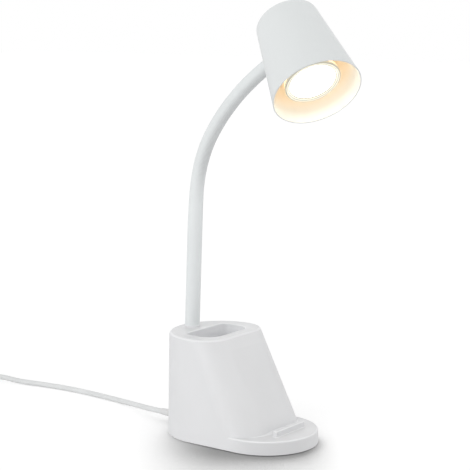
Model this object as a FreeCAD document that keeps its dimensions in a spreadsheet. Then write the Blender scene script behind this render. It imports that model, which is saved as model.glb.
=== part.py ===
"""Desk lamp with a pen well and a phone rest: a parametric model of every piece.

Millimetres and degrees. The origin is at the centre of the underside, +Z is up, +X points
to the phone tray and +Y to the lamp's left. The neck bends in the plane y = 0.
"""
import FreeCAD, Part
import math
import os

import Sketcher

V = FreeCAD.Vector
doc = FreeCAD.newDocument("DeskLamp")

# ---------------------------------------------------------------- driving dimensions
SIZES = {
    # base, outside
    "base_length": 150.0, "base_width": 96.0, "base_draft": 0.92, "base_lift": 1.0,
    "deck_height": 97.0, "deck_round": 3.0, "tray_height": 13.5, "tray_round": 2.0,
    "toe_length": 31.1, "rest_head": 72.9, "rest_round": 32.0, "rest_side": 1.2,
    "blend_radius": 5.0, "blend_pinch": 2.0, "blend_sink": 0.05,
    # ledge on the tray
    "ledge_gap": 6.5, "ledge_thickness": 4.6, "ledge_span": 45.0, "ledge_height": 5.5,
    "ledge_round": 1.5, "ledge_edge": 1.2, "ledge_foot": 1.0,
    # shell, pen well and screw posts
    "shell_wall": 2.5, "well_back": 30.0, "well_length": 32.5, "well_span": 60.0,
    "well_rear_round": 7.0, "well_front_round": 14.0, "well_floor": 22.0, "well_wall": 2.2,
    "well_lip": 1.5, "post_diameter": 8.0, "post_back": 23.0, "post_rear_span": 62.0,
    "post_toe": 27.0, "post_front_span": 62.0, "pilot_diameter": 2.6, "pilot_spare": 0.6, "pilot_end": 1.0,
    # bottom cover, pad, counterweight
    "cover_thickness": 2.0, "cover_gap": 0.3, "pad_margin": 5.0, "weight_back": 31.0,
    "weight_toe": 48.0, "weight_corner": 3.0, "weight_width": 70.0, "weight_thickness": 9.0,
    "weight_screw_pitch": 40.0,
    "screw_shank": 3.0, "screw_head": 5.8, "screw_head_height": 1.5, "screw_length": 8.0,
    "weight_screw_shank": 4.0, "weight_screw_length": 8.0,
    # neck
    "neck_back": 16.1, "neck_length": 277.5, "neck_diameter": 13.5, "core_diameter": 10.0,
    "core_bore": 5.6, "dome_radius": 9.0, "dome_gap": 0.3, "neck_start": 0.5,
    "lean_0": 2.3, "lean_1": 2.3, "lean_2": 2.3, "lean_3": 2.3, "lean_4": 4.2,
    "lean_5": 16.1, "lean_6": 31.6, "lean_7": 41.2, "lean_8": 49.1, "lean_9": 56.5,
    # studs, nuts and rings at the neck's ends
    "stud_diameter": 9.6, "stud_bore": 6.6, "stud_clearance": 0.2, "stud_tail": 12.0,
    "nut_flats": 14.0, "nut_height": 3.0, "washer_diameter": 17.0, "washer_thickness": 1.0,
    "ring_height": 1.6, "ring_wall": 0.45, "ring_gap": 0.3, "ring_edge": 0.25,
    # shade
    "shade_rim": 39.9, "shade_top": 28.2, "shade_length": 84.4, "shade_wall": 1.0,
    "shade_round": 3.0, "mount_drop": 23.1, "head_turn": -20.6, "collar_length": 3.0,
    "collar_diameter": 15.4, "swivel_gap": 0.1, "seat_length": 4.0, "seat_diameter": 19.0,
    # lamp and its holder
    "bulb_radius": 25.0, "bulb_length": 46.0, "bulb_neck": 14.6,
    "bezel_width": 2.8, "lens_lip": 1.6, "bezel_height": 2.4, "bulb_wall": 1.2, "board_gap": 0.1,
    "bulb_flare": 11.0, "bulb_waist": 22.0, "bulb_throat": 30.0, "board_height": 9.0,
    "holder_gap": 0.3, "holder_radius": 14.5, "holder_height": 14.0, "holder_step": 3.5,
    "holder_boss": 2.0, "holder_face": 2.8, "holder_room": 4.2, "pin_pitch": 10.0,
    "pin_shank": 3.2, "pin_head": 4.9, "pin_shank_length": 3.6, "pin_head_height": 2.6,
    "pin_clearance": 0.25, "lock_turn": 18.0, "bracket_thickness": 1.2, "bracket_width": 12.0,
    "bracket_screw_pitch": 17.0, "bracket_reach": 13.5, "bracket_foot": 6.0,
    "bracket_rise": 10.2, "bracket_screw": 2.5, "bracket_screw_head": 4.6, "bracket_screw_length": 6.0,
    # cord
    "cord_diameter": 5.4, "cord_exit_height": 8.0, "relief_length": 22.0, "relief_root": 7.6,
    "relief_tip": 6.2, "relief_flange": 12.0, "relief_flange_thickness": 1.6, "relief_hole": 8.6,
    "relief_lip": 0.5,
    "coil_outer": 40.6, "coil_inner": 21.7, "coil_x": -407.5, "coil_y": -67.1,
    # inline switch
    "switch_x": -362.0, "switch_y": -6.0, "switch_heading": 200.0, "switch_grip": 6.0,
    "switch_length": 60.0, "switch_width": 25.0, "switch_split": 6.6, "switch_height": 15.0,
    "switch_wall": 1.8, "switch_corner": 9.0, "switch_edge": 1.5, "switch_screw_pitch": 38.0,
    "switch_boss": 5.4, "switch_screw": 2.2, "switch_screw_head": 4.4, "switch_sink": 2.2,
    "switch_pilot": 5.4, "contact_width": 3.2, "contact_thickness": 0.8, "contact_gap": 4.0,
    "rocker_length": 17.0, "rocker_width": 11.0, "rocker_gap": 0.3,
    "rocker_hinge": 12.6, "rocker_rise": 4.4, "rocker_dip": 0.6, "rocker_drop": 3.4,
    "rocker_tilt": 9.0, "rocker_pin": 2.4,
    "rocker_pin_gap": 0.05, "rocker_pin_reach": 1.6,
    # plug
    "plug_x": -353.5, "plug_y": -107.4, "plug_heading": 0.0, "plug_relief": 20.0,
    "plug_width": 35.3, "plug_thickness": 13.7, "plug_length": 36.0, "plug_pin": 4.0,
    "plug_pin_length": 19.0, "plug_pin_root": 5.0, "plug_pin_pitch": 18.6,
    "plug_sleeve": 10.0, "plug_sleeve_diameter": 4.0, "plug_core": 3.2, "plug_throat": 14.0,
    "plug_corner": 8.0, "plug_edge": 2.5,
    # inside the base
    "block_back": 15.5, "block_length": 9.0, "block_width": 16.0, "block_height": 11.0,
    "block_bore": 3.8, "block_bore_height": 4.5, "grub_diameter": 3.0, "grub_length": 3.4,
    "grub_margin": 2.5,
    "clamp_back": 5.5, "clamp_length": 5.5, "clamp_width": 20.0, "clamp_screw_pitch": 14.0,
    "clamp_screw": 2.4, "clamp_screw_head": 4.6,
    "clamp_over_cord": 1.6, "lead_back": 11.0, "bore_gap": 0.02, "wire_diameter": 2.2, "wire_pitch": 2.5,
    "wire_slack": 9.5, "head_wire_out": 2.5, "head_wire_back": 9.0,
    "head_wire_fan": 7.8, "head_wire_bow": 9.4, "head_wire_side": 8.9,
}
sheet = doc.addObject("Spreadsheet::Sheet", "Sizes")
for row, (alias, number) in enumerate(SIZES.items(), start=1):
    sheet.set(f"A{row}", alias)
    sheet.set(f"B{row}", str(number))
    sheet.setAlias(f"B{row}", alias)
doc.recompute()


def size(alias):
    """One driving dimension, read from the sheet."""
    return float(sheet.get(alias))


def bound(text):
    """An expression in which every word that names a size points at the sheet."""
    out, word = "", ""
    for char in text + " ":
        if char.isalnum() or char == "_":
            word += char
            continue
        out += f"Sizes.{word}" if word in SIZES else word
        out, word = out + char, ""
    return out.strip()


def number(text):
    """The value of such an expression."""
    found = sheet.evalExpression(bound(text))
    return float(getattr(found, "Value", found))


# ---------------------------------------------------------------- helpers for features
TINY = 1e-6


def new_body(label):
    """An empty PartDesign body whose label names its file."""
    body = doc.addObject("PartDesign::Body", label)
    body.Label = label
    return body


def new_sketch(body, role, height="0", name="outline"):
    """A sketch on one of the body's own origin planes, lifted by an expression."""
    plane = next(f for f in body.Origin.OriginFeatures if f.Role == role)
    made = body.newObject("Sketcher::SketchObject", f"{body.Name}_{name}")
    made.AttachmentSupport = [(plane, "")]
    made.MapMode = "FlatFace"
    if height != "0":
        made.setExpression("AttachmentOffset.Base.z", bound(height))
    return made


def pin_down(made, kind, where, text):
    """One signed distance from the sketch's origin, or a radius, bound to the sheet."""
    spot = (-1, 1) + where if kind != "Radius" else where
    index = made.addConstraint(Sketcher.Constraint(kind, *spot, number(text)))
    made.setExpression(f"Constraints[{index}]", bound(text))


def outline(made, corners):
    """A closed outline, anticlockwise. A corner is (x, y) or (x, y, centre x, centre y, by):
    then a round edge about that centre follows it, held by its centre's "x" or "y". With
    "-x" or "-y" that edge runs clockwise, as in the inner side of a bent slot."""
    spots = [(number(c[0]), number(c[1])) for c in corners]
    first, ends = made.GeometryCount, []
    for i, corner in enumerate(corners):
        (x0, y0), (x1, y1) = spots[i], spots[(i + 1) % len(spots)]
        if len(corner) == 2:
            made.addGeometry(Part.LineSegment(V(x0, y0, 0), V(x1, y1, 0)), False)
            ends.append((1, 2))
            continue
        back = corner[4].startswith("-")
        cx, cy = number(corner[2]), number(corner[3])
        start, end = math.atan2(y0 - cy, x0 - cx), math.atan2(y1 - cy, x1 - cx)
        if back:
            start, end = end, start
        if end <= start:
            end += 2 * math.pi
        ring = Part.Circle(V(cx, cy, 0), V(0, 0, 1), math.hypot(x0 - cx, y0 - cy))
        made.addGeometry(Part.ArcOfCircle(ring, start, end), False)
        ends.append((2, 1) if back else (1, 2))
    count = len(corners)
    for i in range(count):
        after = (i + 1) % count
        joined = (first + i, ends[i][1], first + after, ends[after][0])
        made.addConstraint(Sketcher.Constraint("Coincident", *joined))
    for i, corner in enumerate(corners):
        pin_down(made, "DistanceX", (first + i, ends[i][0]), corner[0])
        pin_down(made, "DistanceY", (first + i, ends[i][0]), corner[1])
        if len(corner) == 5:
            by_x = corner[4].endswith("x")
            pin_down(made, "DistanceX" if by_x else "DistanceY", (first + i, 3), corner[2 if by_x else 3])
    return made


def circle(made, x, y, radius):
    """A full circle, bound to the sheet."""
    ring = Part.Circle(V(number(x), number(y), 0), V(0, 0, 1), number(radius))
    index = made.addGeometry(ring, False)
    pin_down(made, "DistanceX", (index, 3), x)
    pin_down(made, "DistanceY", (index, 3), y)
    pin_down(made, "Radius", (index,), radius)
    return made


def rounded_box(x0, x1, half, r0, r1):
    """Corners of a box symmetric about the X axis, r0 and r1 its radii at x0 and x1."""
    in0, in1 = f"({x0})+({r0})", f"({x1})-({r1})"
    top0, top1 = f"({half})-({r0})", f"({half})-({r1})"
    return [
        (in0, f"-({half})"), (in1, f"-({half})", in1, f"-({top1})", "x"),
        (x1, f"-({top1})"), (x1, top1, in1, top1, "x"),
        (in1, half), (in0, half, in0, top0, "x"),
        (x0, top0), (x0, f"-({top0})", in0, f"-({top0})", "x"),
    ]


def solid_of(body, kind, made, length, way=False):
    """A Pad or a Pocket of a sketch, its length an expression."""
    feature = body.newObject(f"PartDesign::{kind}", f"{body.Name}_{kind.lower()}")
    feature.Profile = made
    feature.Reversed = way
    feature.setExpression("Length", bound(length))
    made.Visibility = False
    doc.recompute()
    return feature


def tapered(body, made, length):
    """A pad whose sides lean in by the base's draft."""
    feature = solid_of(body, "Pad", made, length)
    feature.setExpression("TaperAngle", bound("-base_draft"))
    doc.recompute()
    return feature


def loft_of(body, kind, low, *higher):
    """A loft through sketches, added or taken away: ruled between two, smooth through more."""
    feature = body.newObject(f"PartDesign::{kind}", f"{body.Name}_{kind.lower()}")
    feature.Profile = low
    feature.Sections = list(higher)
    feature.Ruled = len(higher) == 1
    doc.recompute()
    return feature


def fillet_of(body, radius, wanted):
    """A fillet on each edge of the body's tip that wanted(edge) picks."""
    tip = body.Tip
    names = [f"Edge{i}" for i, e in enumerate(tip.Shape.Edges, start=1) if wanted(e)]
    feature = body.newObject("PartDesign::Fillet", f"{body.Name}_fillet")
    feature.Base = (tip, names)
    feature.setExpression("Radius", bound(radius))
    doc.recompute()
    return feature


def turned(label, corners, void=None):
    """A piece turned about the Z axis from an outline of (radius, height) corners, and a void in it."""
    body = new_body(label)
    made = outline(new_sketch(body, "XZ_Plane", name="section"), corners)
    if void:
        outline(made, void)
    feature = body.newObject("PartDesign::Revolution", f"{label}_turn")
    feature.Profile = made
    feature.ReferenceAxis = (made, ["V_Axis"])
    feature.Angle = 360.0
    doc.recompute()
    return body


def ring_section(r0, r1, z0, z1):
    """Corners of a plain ring's section."""
    return [(r0, z0), (r1, z0), (r1, z1), (r0, z1)]


def plain(label, shape):
    """A piece whose shape comes straight from Part's own functions."""
    made = doc.addObject("Part::Feature", label)
    made.Label = label
    made.Shape = shape
    return made


def group(label, master, places):
    """Copies of one piece, as separate solids in one node."""
    links = []
    for i, place in enumerate(places):
        link = doc.addObject("App::Link", f"{label}_{i + 1}")
        link.LinkedObject = master
        link.LinkPlacement = place
        links.append(link)
    made = doc.addObject("Part::Compound", label)
    made.Label = label
    made.Links = links
    doc.recompute()
    return made


def at(x, y, z, turn=None):
    return FreeCAD.Placement(V(x, y, z), turn or FreeCAD.Rotation())


FLIP = FreeCAD.Rotation(V(1, 0, 0), 180)
TO_REAR = FreeCAD.Rotation(V(0, 1, 0), -90)
TO_FRONT = FreeCAD.Rotation(V(0, 1, 0), 90)


def frame_of(origin, along, across):
    """The placement that takes +Z to along and +X as near as it can to across."""
    return FreeCAD.Placement(origin, FreeCAD.Rotation(across, V(0, 0, 0), along, "ZXY"))


# ---------------------------------------------------------------- base housing
HALF_C = "(base_length-base_width)/2"
REST_FOOT, REST_HEAD = "(base_length/2-toe_length)", "(rest_head-base_length/2)"
REST_SLOPE = f"({REST_FOOT}-{REST_HEAD})/(deck_height-tray_height)"
WELL_REAR = "(well_back-base_length/2)"
WELL_FRONT = f"({WELL_REAR}+well_length)"
POST_REAR, POST_FRONT = "(post_back-base_length/2)", "(base_length/2-post_toe)"
WEIGHT_REAR, WEIGHT_FRONT = "(weight_back-base_length/2)", "(base_length/2-weight_toe)"
NECK_X = "(neck_back-base_length/2)"
BLOCK_REAR, CLAMP_REAR = "(block_back-base_length/2)", "(clamp_back-base_length/2)"
TOE_DEPTH = "(tray_height-base_lift-cover_thickness)"
REST_SINE = f"({REST_SLOPE})/sqrt(1+({REST_SLOPE})^2)"


def half_width(height, inset="0"):
    """Half the base's width at a height, with its draft."""
    return f"base_width/2-({height})*tan(base_draft)-({inset})"


def plate_outline(made, height, inset, rear):
    """The tray's plan: straight sides from rear, and a round front."""
    half = half_width(height, inset)
    return outline(made, [
        (rear, f"-({half})"), (HALF_C, f"-({half})", HALF_C, "0", "x"),
        (HALF_C, half), (rear, half),
    ])


def column_outline(made, height, inset, spread="0"):
    """The body's plan at a height: round behind, flat with rounded corners in front."""
    half = half_width(height, inset)
    skin = f"{REST_FOOT}-({height}-tray_height)*{REST_SLOPE}"
    face = f"{skin}-({inset})*sqrt(1+({REST_SLOPE})^2)+({spread})"
    curve = f"(min(rest_round;{skin}+{HALF_C}-rest_side)-({inset}))"
    return outline(made, [
        (f"-{HALF_C}", f"-({half})"),
        (f"{face}-{curve}", f"-({half})", f"{face}-{curve}", f"-({half})+{curve}", "x"),
        (face, f"-({half})+{curve}"),
        (face, f"{half}-{curve}", f"{face}-{curve}", f"{half}-{curve}", "x"),
        (f"{face}-{curve}", half),
        (f"-{HALF_C}", half, f"-{HALF_C}", "0", "x"),
    ])


def level(edge, height):
    """Whether an edge lies at one height."""
    box = edge.BoundBox
    return abs(box.ZMin - height) < 1e-4 and abs(box.ZMax - height) < 1e-4


BLEND_STEPS = (0, 0.04, 0.16, 0.42, 1)  # heights of its sections, as shares of the whole


def base_housing():
    body = new_body("base_housing")
    # the tray: a drafted plate with a rounded rim, and the phone ledge on it
    tray = plate_outline(new_sketch(body, "XY_Plane", "base_lift", "tray"), "base_lift", "0", "0")
    tapered(body, tray, "tray_height-base_lift")
    fillet_of(body, "tray_round", lambda e: level(e, size("tray_height")) and e.BoundBox.XMax > 1.0)
    ledge = new_sketch(body, "XY_Plane", "tray_height", "ledge")
    ledge_rear = f"{REST_FOOT}+ledge_gap"
    outline(ledge, rounded_box(ledge_rear, f"{ledge_rear}+ledge_thickness", "ledge_span/2",
                               "ledge_round", "ledge_round"))
    solid_of(body, "Pad", ledge, "ledge_height")
    fillet_of(body, "ledge_edge", lambda e: level(e, number("tray_height+ledge_height")))
    fillet_of(body, "ledge_foot", lambda e: level(e, size("tray_height")) and at_ledge(e))
    # the body: round behind, with the slanted rest in front
    loft_of(body, "AdditiveLoft",
            column_outline(new_sketch(body, "XY_Plane", "base_lift", "body_low"), "base_lift", "0"),
            column_outline(new_sketch(body, "XY_Plane", "deck_height", "body_high"), "deck_height", "0"))
    fillet_of(body, "deck_round", lambda e: level(e, size("deck_height")))
    # the rest's foot runs out on the tray in a hollow curve, which ends short of the sides
    sections = []
    for part in BLEND_STEPS:
        rise = f"blend_radius*(1-{REST_SINE})*{part}"
        height = f"tray_height+{rise}"
        spread = (f"blend_radius*sqrt((1-{REST_SINE})/(1+{REST_SINE}))-sqrt(({rise})*(2*blend_radius-{rise}))"
                  f"+({rise})*{REST_SLOPE}+blend_pinch*sqrt(1+({REST_SLOPE})^2)-blend_sink")
        section = new_sketch(body, "XY_Plane", height, "blend")
        sections.append(column_outline(section, height, "blend_pinch", spread))
    loft_of(body, "AdditiveLoft", *sections)
    # the hollow inside, open below
    wall, low = "shell_wall", "base_lift"
    ceiling, tray_ceiling = "deck_height-shell_wall", "tray_height-shell_wall"
    loft_of(body, "SubtractiveLoft",
            column_outline(new_sketch(body, "XY_Plane", low, "hollow_low"), low, wall),
            column_outline(new_sketch(body, "XY_Plane", ceiling, "hollow_high"), ceiling, wall))
    loft_of(body, "SubtractiveLoft",
            plate_outline(new_sketch(body, "XY_Plane", low, "toe_low"), low, wall, wall),
            plate_outline(new_sketch(body, "XY_Plane", tray_ceiling, "toe_high"), tray_ceiling, wall, wall))
    # the pen well hangs from the deck
    well = new_sketch(body, "XY_Plane", "well_floor-well_wall", "well_out")
    outline(well, rounded_box(f"{WELL_REAR}-well_wall", f"{WELL_FRONT}+well_wall", "well_span/2+well_wall",
                              "well_rear_round+well_wall", "well_front_round+well_wall"))
    solid_of(body, "Pad", well, "deck_height-shell_wall/2-well_floor+well_wall")
    # screw posts reach down to the cover
    posts = new_sketch(body, "XY_Plane", "base_lift+cover_thickness", "posts_rear")
    for side in ("-1", "1"):
        circle(posts, POST_REAR, f"{side}*post_rear_span/2", "post_diameter/2")
    solid_of(body, "Pad", posts, "deck_height-shell_wall*0.7-base_lift-cover_thickness")
    posts = new_sketch(body, "XY_Plane", "base_lift+cover_thickness", "posts_front")
    for side in ("-1", "1"):
        circle(posts, POST_FRONT, f"{side}*post_front_span/2", "post_diameter/2")
    solid_of(body, "Pad", posts, "tray_height-shell_wall*0.7-base_lift-cover_thickness")
    inner = new_sketch(body, "XY_Plane", "well_floor", "well_in")
    outline(inner, rounded_box(WELL_REAR, WELL_FRONT, "well_span/2", "well_rear_round", "well_front_round"))
    solid_of(body, "Pocket", inner, "deck_height-well_floor+5", True)
    fillet_of(body, "well_lip", lambda e: level(e, size("deck_height")) and in_well(e))
    # holes: the neck's stud, the cord's bushing and the screw pilots
    stud = circle(new_sketch(body, "XY_Plane", "deck_height", "stud_hole"), NECK_X, "0",
                  "stud_diameter/2+stud_clearance")
    solid_of(body, "Pocket", stud, "shell_wall*3")
    gland = circle(new_sketch(body, "YZ_Plane", "-base_length/2-5", "gland_hole"), "0", "cord_exit_height",
                   "relief_hole/2")
    solid_of(body, "Pocket", gland, "5+shell_wall*3", True)
    pilots = new_sketch(body, "XY_Plane", "base_lift+cover_thickness", "pilots")
    for x, y in post_spots():
        circle(pilots, x, y, "pilot_diameter/2")
    solid_of(body, "Pocket", pilots, f"min(screw_length+pilot_spare;{TOE_DEPTH}-pilot_end)", True)
    return body


def at_ledge(edge):
    """Whether an edge lies round the ledge."""
    box, slack = edge.BoundBox, 0.01
    rear = number(f"{REST_FOOT}+ledge_gap")
    return box.XMin > rear - slack and box.XMax < rear + size("ledge_thickness") + slack


def in_well(edge):
    """Whether an edge lies round the pen well's mouth."""
    box, slack = edge.BoundBox, 0.01
    half = size("well_span") / 2 + slack
    return (box.XMin > number(WELL_REAR) - slack and box.XMax < number(WELL_FRONT) + slack
            and box.YMin > -half and box.YMax < half)


def post_spots():
    """The four cover screws' places, as expressions."""
    rows = ((POST_REAR, "post_rear_span"), (POST_FRONT, "post_front_span"))
    return [(x, f"{side}*{span}/2") for x, span in rows for side in ("-1", "1")]


# ---------------------------------------------------------------- underside
def stadium(made, inset):
    """The base's whole plan at its lower edge."""
    half = half_width("base_lift", inset)
    return outline(made, [
        (f"-{HALF_C}", f"-({half})"), (HALF_C, f"-({half})", HALF_C, "0", "x"),
        (HALF_C, half), (f"-{HALF_C}", half, f"-{HALF_C}", "0", "x"),
    ])


def weight_screw_spots():
    middle = f"({WEIGHT_FRONT}+{WEIGHT_REAR})/2"
    return [(middle, f"{side}*weight_screw_pitch/2") for side in ("-1", "1")]


def bottom_cover():
    body = new_body("bottom_cover")
    plan = stadium(new_sketch(body, "XY_Plane", "base_lift"), "shell_wall+cover_gap")
    for x, y in post_spots():
        circle(plan, x, y, "screw_shank/2+0.2")
    for x, y in weight_screw_spots():
        circle(plan, x, y, "weight_screw_shank/2+0.2")
    solid_of(body, "Pad", plan, "cover_thickness")
    sinks = new_sketch(body, "XY_Plane", "base_lift", "sinks")
    for x, y in post_spots() + weight_screw_spots():
        circle(sinks, x, y, "screw_head/2+0.3")
    solid_of(body, "Pocket", sinks, "screw_head_height+0.1", True)
    return body


def foot_pad():
    body = new_body("foot_pad")
    solid_of(body, "Pad", stadium(new_sketch(body, "XY_Plane"), "pad_margin"), "base_lift")
    return body


def counterweight():
    body = new_body("counterweight")
    plan = new_sketch(body, "XY_Plane", "base_lift+cover_thickness")
    outline(plan, rounded_box(WEIGHT_REAR, WEIGHT_FRONT, "weight_width/2", "weight_corner", "weight_corner"))
    for x, y in weight_screw_spots():
        circle(plan, x, y, "weight_screw_shank/2+0.02")
    solid_of(body, "Pad", plan, "weight_thickness")
    return body


def screw(label, shank, head, head_height, length, slot=True):
    """A pan screw that points up, the bearing face of its head at z = 0."""
    body = turned(label, [("0", f"-({head_height})"), (f"({head})/2-0.3", f"-({head_height})"),
                          (f"({head})/2", f"-({head_height})+0.4"), (f"({head})/2", "0"),
                          (f"({shank})/2", "0"), (f"({shank})/2", f"({length})-0.8"),
                          (f"({shank})/2-0.7", length), ("0", length)])
    if slot:
        cross = new_sketch(body, "XY_Plane", f"-({head_height})", "cross")
        arm, half = f"({head})*0.32", f"({head})*0.07"
        back_arm, back = f"-({arm})", f"-({half})"
        outline(cross, [(half, half), (half, arm), (back, arm), (back, half), (back_arm, half),
                        (back_arm, back), (back, back), (back, back_arm), (half, back_arm), (half, back),
                        (arm, back), (arm, half)])
        solid_of(body, "Pocket", cross, f"({head_height})*0.6", True)
    return body


def underside_screws():
    seat = number("base_lift+screw_head_height+0.1")
    head = ("screw_head", "screw_head_height")
    cover = screw("cover_screw", "pilot_diameter", *head, f"min(screw_length;{TOE_DEPTH}-pilot_end-0.5)")
    weight = screw("weight_screw", "weight_screw_shank", *head, "weight_screw_length")
    rows = (("cover_screws", cover, post_spots()), ("counterweight_screws", weight, weight_screw_spots()))
    return [group(label, pin, [at(number(x), number(y), seat) for x, y in spots])
            for label, pin, spots in rows]


# ---------------------------------------------------------------- neck
SPANS = 9


def neck_points():
    """The hinge points from deck to shade with the tangent at each, and each span's arc."""
    run = size("neck_length") / SPANS
    leans = [math.radians(size(f"lean_{i}")) for i in range(SPANS + 1)]
    spot = V(number(NECK_X), 0, number("deck_height+neck_start"))
    found = [(spot, leans[0])]
    for low, high in zip(leans, leans[1:]):
        turn = high - low
        if abs(turn) < TINY:
            spot = spot + V(math.sin(low), 0, math.cos(low)) * run
        else:
            radius = run / turn
            spot = spot + V(math.cos(low) - math.cos(high), 0, math.sin(high) - math.sin(low)) * radius
        found.append((spot, high))
    return found


def tangent(lean):
    return V(math.sin(lean), 0, math.cos(lean))


def tube_along(start, lean, turn, run, outer, bore):
    """A tube along one arc of the neck, from a point where it leans by lean."""
    along = tangent(lean)
    ring = Part.Face([Part.Wire(Part.makeCircle(outer, start, along))])
    if bore > 0:
        ring = ring.cut(Part.makeCylinder(bore, 1.0, start - along * 0.5, along)).Faces[0]
    if abs(turn) < TINY:
        return ring.extrude(along * run)
    centre = start + V(math.cos(lean), 0, -math.sin(lean)) * (run / turn)
    return ring.revolve(centre, V(0, 1, 0), math.degrees(turn))


def neck_span(index, outer, bore):
    """One rigid length of the neck, domed at its upper end and cupped at its lower end."""
    points = neck_points()
    (start, low), (end, high) = points[index], points[index + 1]
    run = size("neck_length") / SPANS
    shape = tube_along(start, low, high - low, run, outer, bore)
    if index + 1 < SPANS:
        share = 1.2 * size("dome_radius") / run
        tip = tube_along(end, high, (points[index + 2][1] - high) * share, run * share, outer, bore)
        shape = shape.fuse(tip.common(Part.makeSphere(size("dome_radius"), end))).removeSplitter()
    if index > 0:
        shape = shape.cut(Part.makeSphere(size("dome_radius") + size("dome_gap"), start))
    return shape.Solids[0]


def neck():
    made = []
    sleeve, core, bore = (size(n) / 2 for n in ("neck_diameter", "core_diameter", "core_bore"))
    for i in range(SPANS):
        made.append(plain(f"neck_sleeve_{i + 1}", neck_span(i, sleeve, core)))
        made.append(plain(f"neck_core_{i + 1}", neck_span(i, core, bore)))
    return made


def stud_profile(low, high):
    return ring_section("stud_bore/2", "stud_diameter/2", low, high)


def hex_nut(label, flats, bore, height):
    body = new_body(label)
    plan = new_sketch(body, "XY_Plane")
    reach = f"({flats})/sqrt(3)"
    corners = [(f"{reach}*cos({60 * i})", f"{reach}*sin({60 * i})") for i in range(6)]
    outline(plan, corners)
    circle(plan, "0", "0", bore)
    solid_of(body, "Pad", plan, height)
    return body


def foot_fixings():
    """What clamps the neck to the deck: a visible ring, a hollow stud, a washer and a nut."""
    place = at(number(NECK_X), 0, size("deck_height"))
    outer = "neck_diameter/2+ring_gap+ring_wall"
    inner = "neck_diameter/2+ring_gap"
    ring = turned("neck_foot_ring", [
        (inner, "0"), (outer, "0"), (outer, "ring_height-ring_edge"), (f"{outer}-ring_edge", "ring_height"),
        (inner, "ring_height")])
    stud = turned("foot_stud", stud_profile("-shell_wall-stud_tail", "neck_start-0.25"))
    washer = turned("foot_washer", ring_section("stud_diameter/2+stud_clearance", "washer_diameter/2",
                                                "-shell_wall-washer_thickness", "-shell_wall"))
    nut = hex_nut("foot_nut", "nut_flats", "stud_diameter/2", "nut_height")
    for piece in (ring, stud, washer):
        piece.Placement = place
    nut.Placement = at(number(NECK_X), 0, number("deck_height-shell_wall-washer_thickness-nut_height"))
    return [ring, stud, washer, nut]


# ---------------------------------------------------------------- head
def neck_end():
    """The neck's upper end: a point, the direction out of it, and a turned side direction."""
    spot, lean = neck_points()[-1]
    along = tangent(lean)
    return spot, along


MOUNT_HEIGHT = "(shade_length-mount_drop)"
BULB_INSET = ("(shade_length-shade_wall-bracket_rise-holder_boss-holder_height-holder_gap"
              "-bulb_length)")


def wall_lean():
    """The shade wall's lean against its axis, in radians."""
    return math.atan((size("shade_rim") - size("shade_top")) / size("shade_length"))


def shade_frame():
    """The shade's own frame: origin at the opening's centre, +Z to its closed top, the neck at -X."""
    spot, along = neck_end()
    lean = math.asin(along.x)
    down = V(math.cos(lean), 0, -math.sin(lean))
    turn = math.radians(size("head_turn"))
    side = down * math.cos(turn) + V(0, 1, 0) * math.sin(turn)
    slope = wall_lean()
    out = along * math.sin(slope) + side * math.cos(slope)  # out of the opening
    back = (along - out * along.dot(out)).normalize() * -1
    wall = spot + along * size("collar_length")
    radius = number(f"shade_rim-(shade_rim-shade_top)*{MOUNT_HEIGHT}/shade_length")
    origin = wall + out * number(MOUNT_HEIGHT) - back * radius
    return frame_of(origin, out * -1, back * -1)


def swivel_frame():
    """The swivel's frame: origin at the neck's end, +Z into the shade."""
    spot, along = neck_end()
    return frame_of(spot, along, shade_frame().Rotation.multVec(V(0, 0, -1)))


def shade_solid(grow=0.0):
    """The shade's outside as one solid in its own frame, for fitting the saddles to it."""
    return Part.makeCone(size("shade_rim") + grow, size("shade_top") + grow, size("shade_length"))


def shade():
    wall = "shade_wall/cos(atan((shade_rim-shade_top)/shade_length))"
    slope = "(shade_rim-shade_top)/shade_length"
    roof = "shade_length-shade_wall"
    body = turned("shade", [
        (f"shade_rim-{wall}", "0"), ("shade_rim", "0"), ("shade_top", "shade_length"), ("0", "shade_length"),
        ("0", roof), (f"shade_top-{wall}+{slope}*shade_wall", roof)])
    outer = size("shade_top") - 0.01
    top = size("shade_length")
    fillet_of(body, "shade_round", lambda e: level(e, top) and e.BoundBox.XMax > outer)
    hole = new_sketch(body, "YZ_Plane", "-shade_rim-20", "stud_hole")
    circle(hole, "0", MOUNT_HEIGHT, "stud_diameter/2+stud_clearance+0.5")
    solid_of(body, "Pocket", hole, "shade_rim+18", True)
    body.Placement = shade_frame()
    return body


def head_stud_length():
    return "collar_length+shade_wall+seat_length+swivel_gap+washer_thickness+nut_height+1.5"


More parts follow.
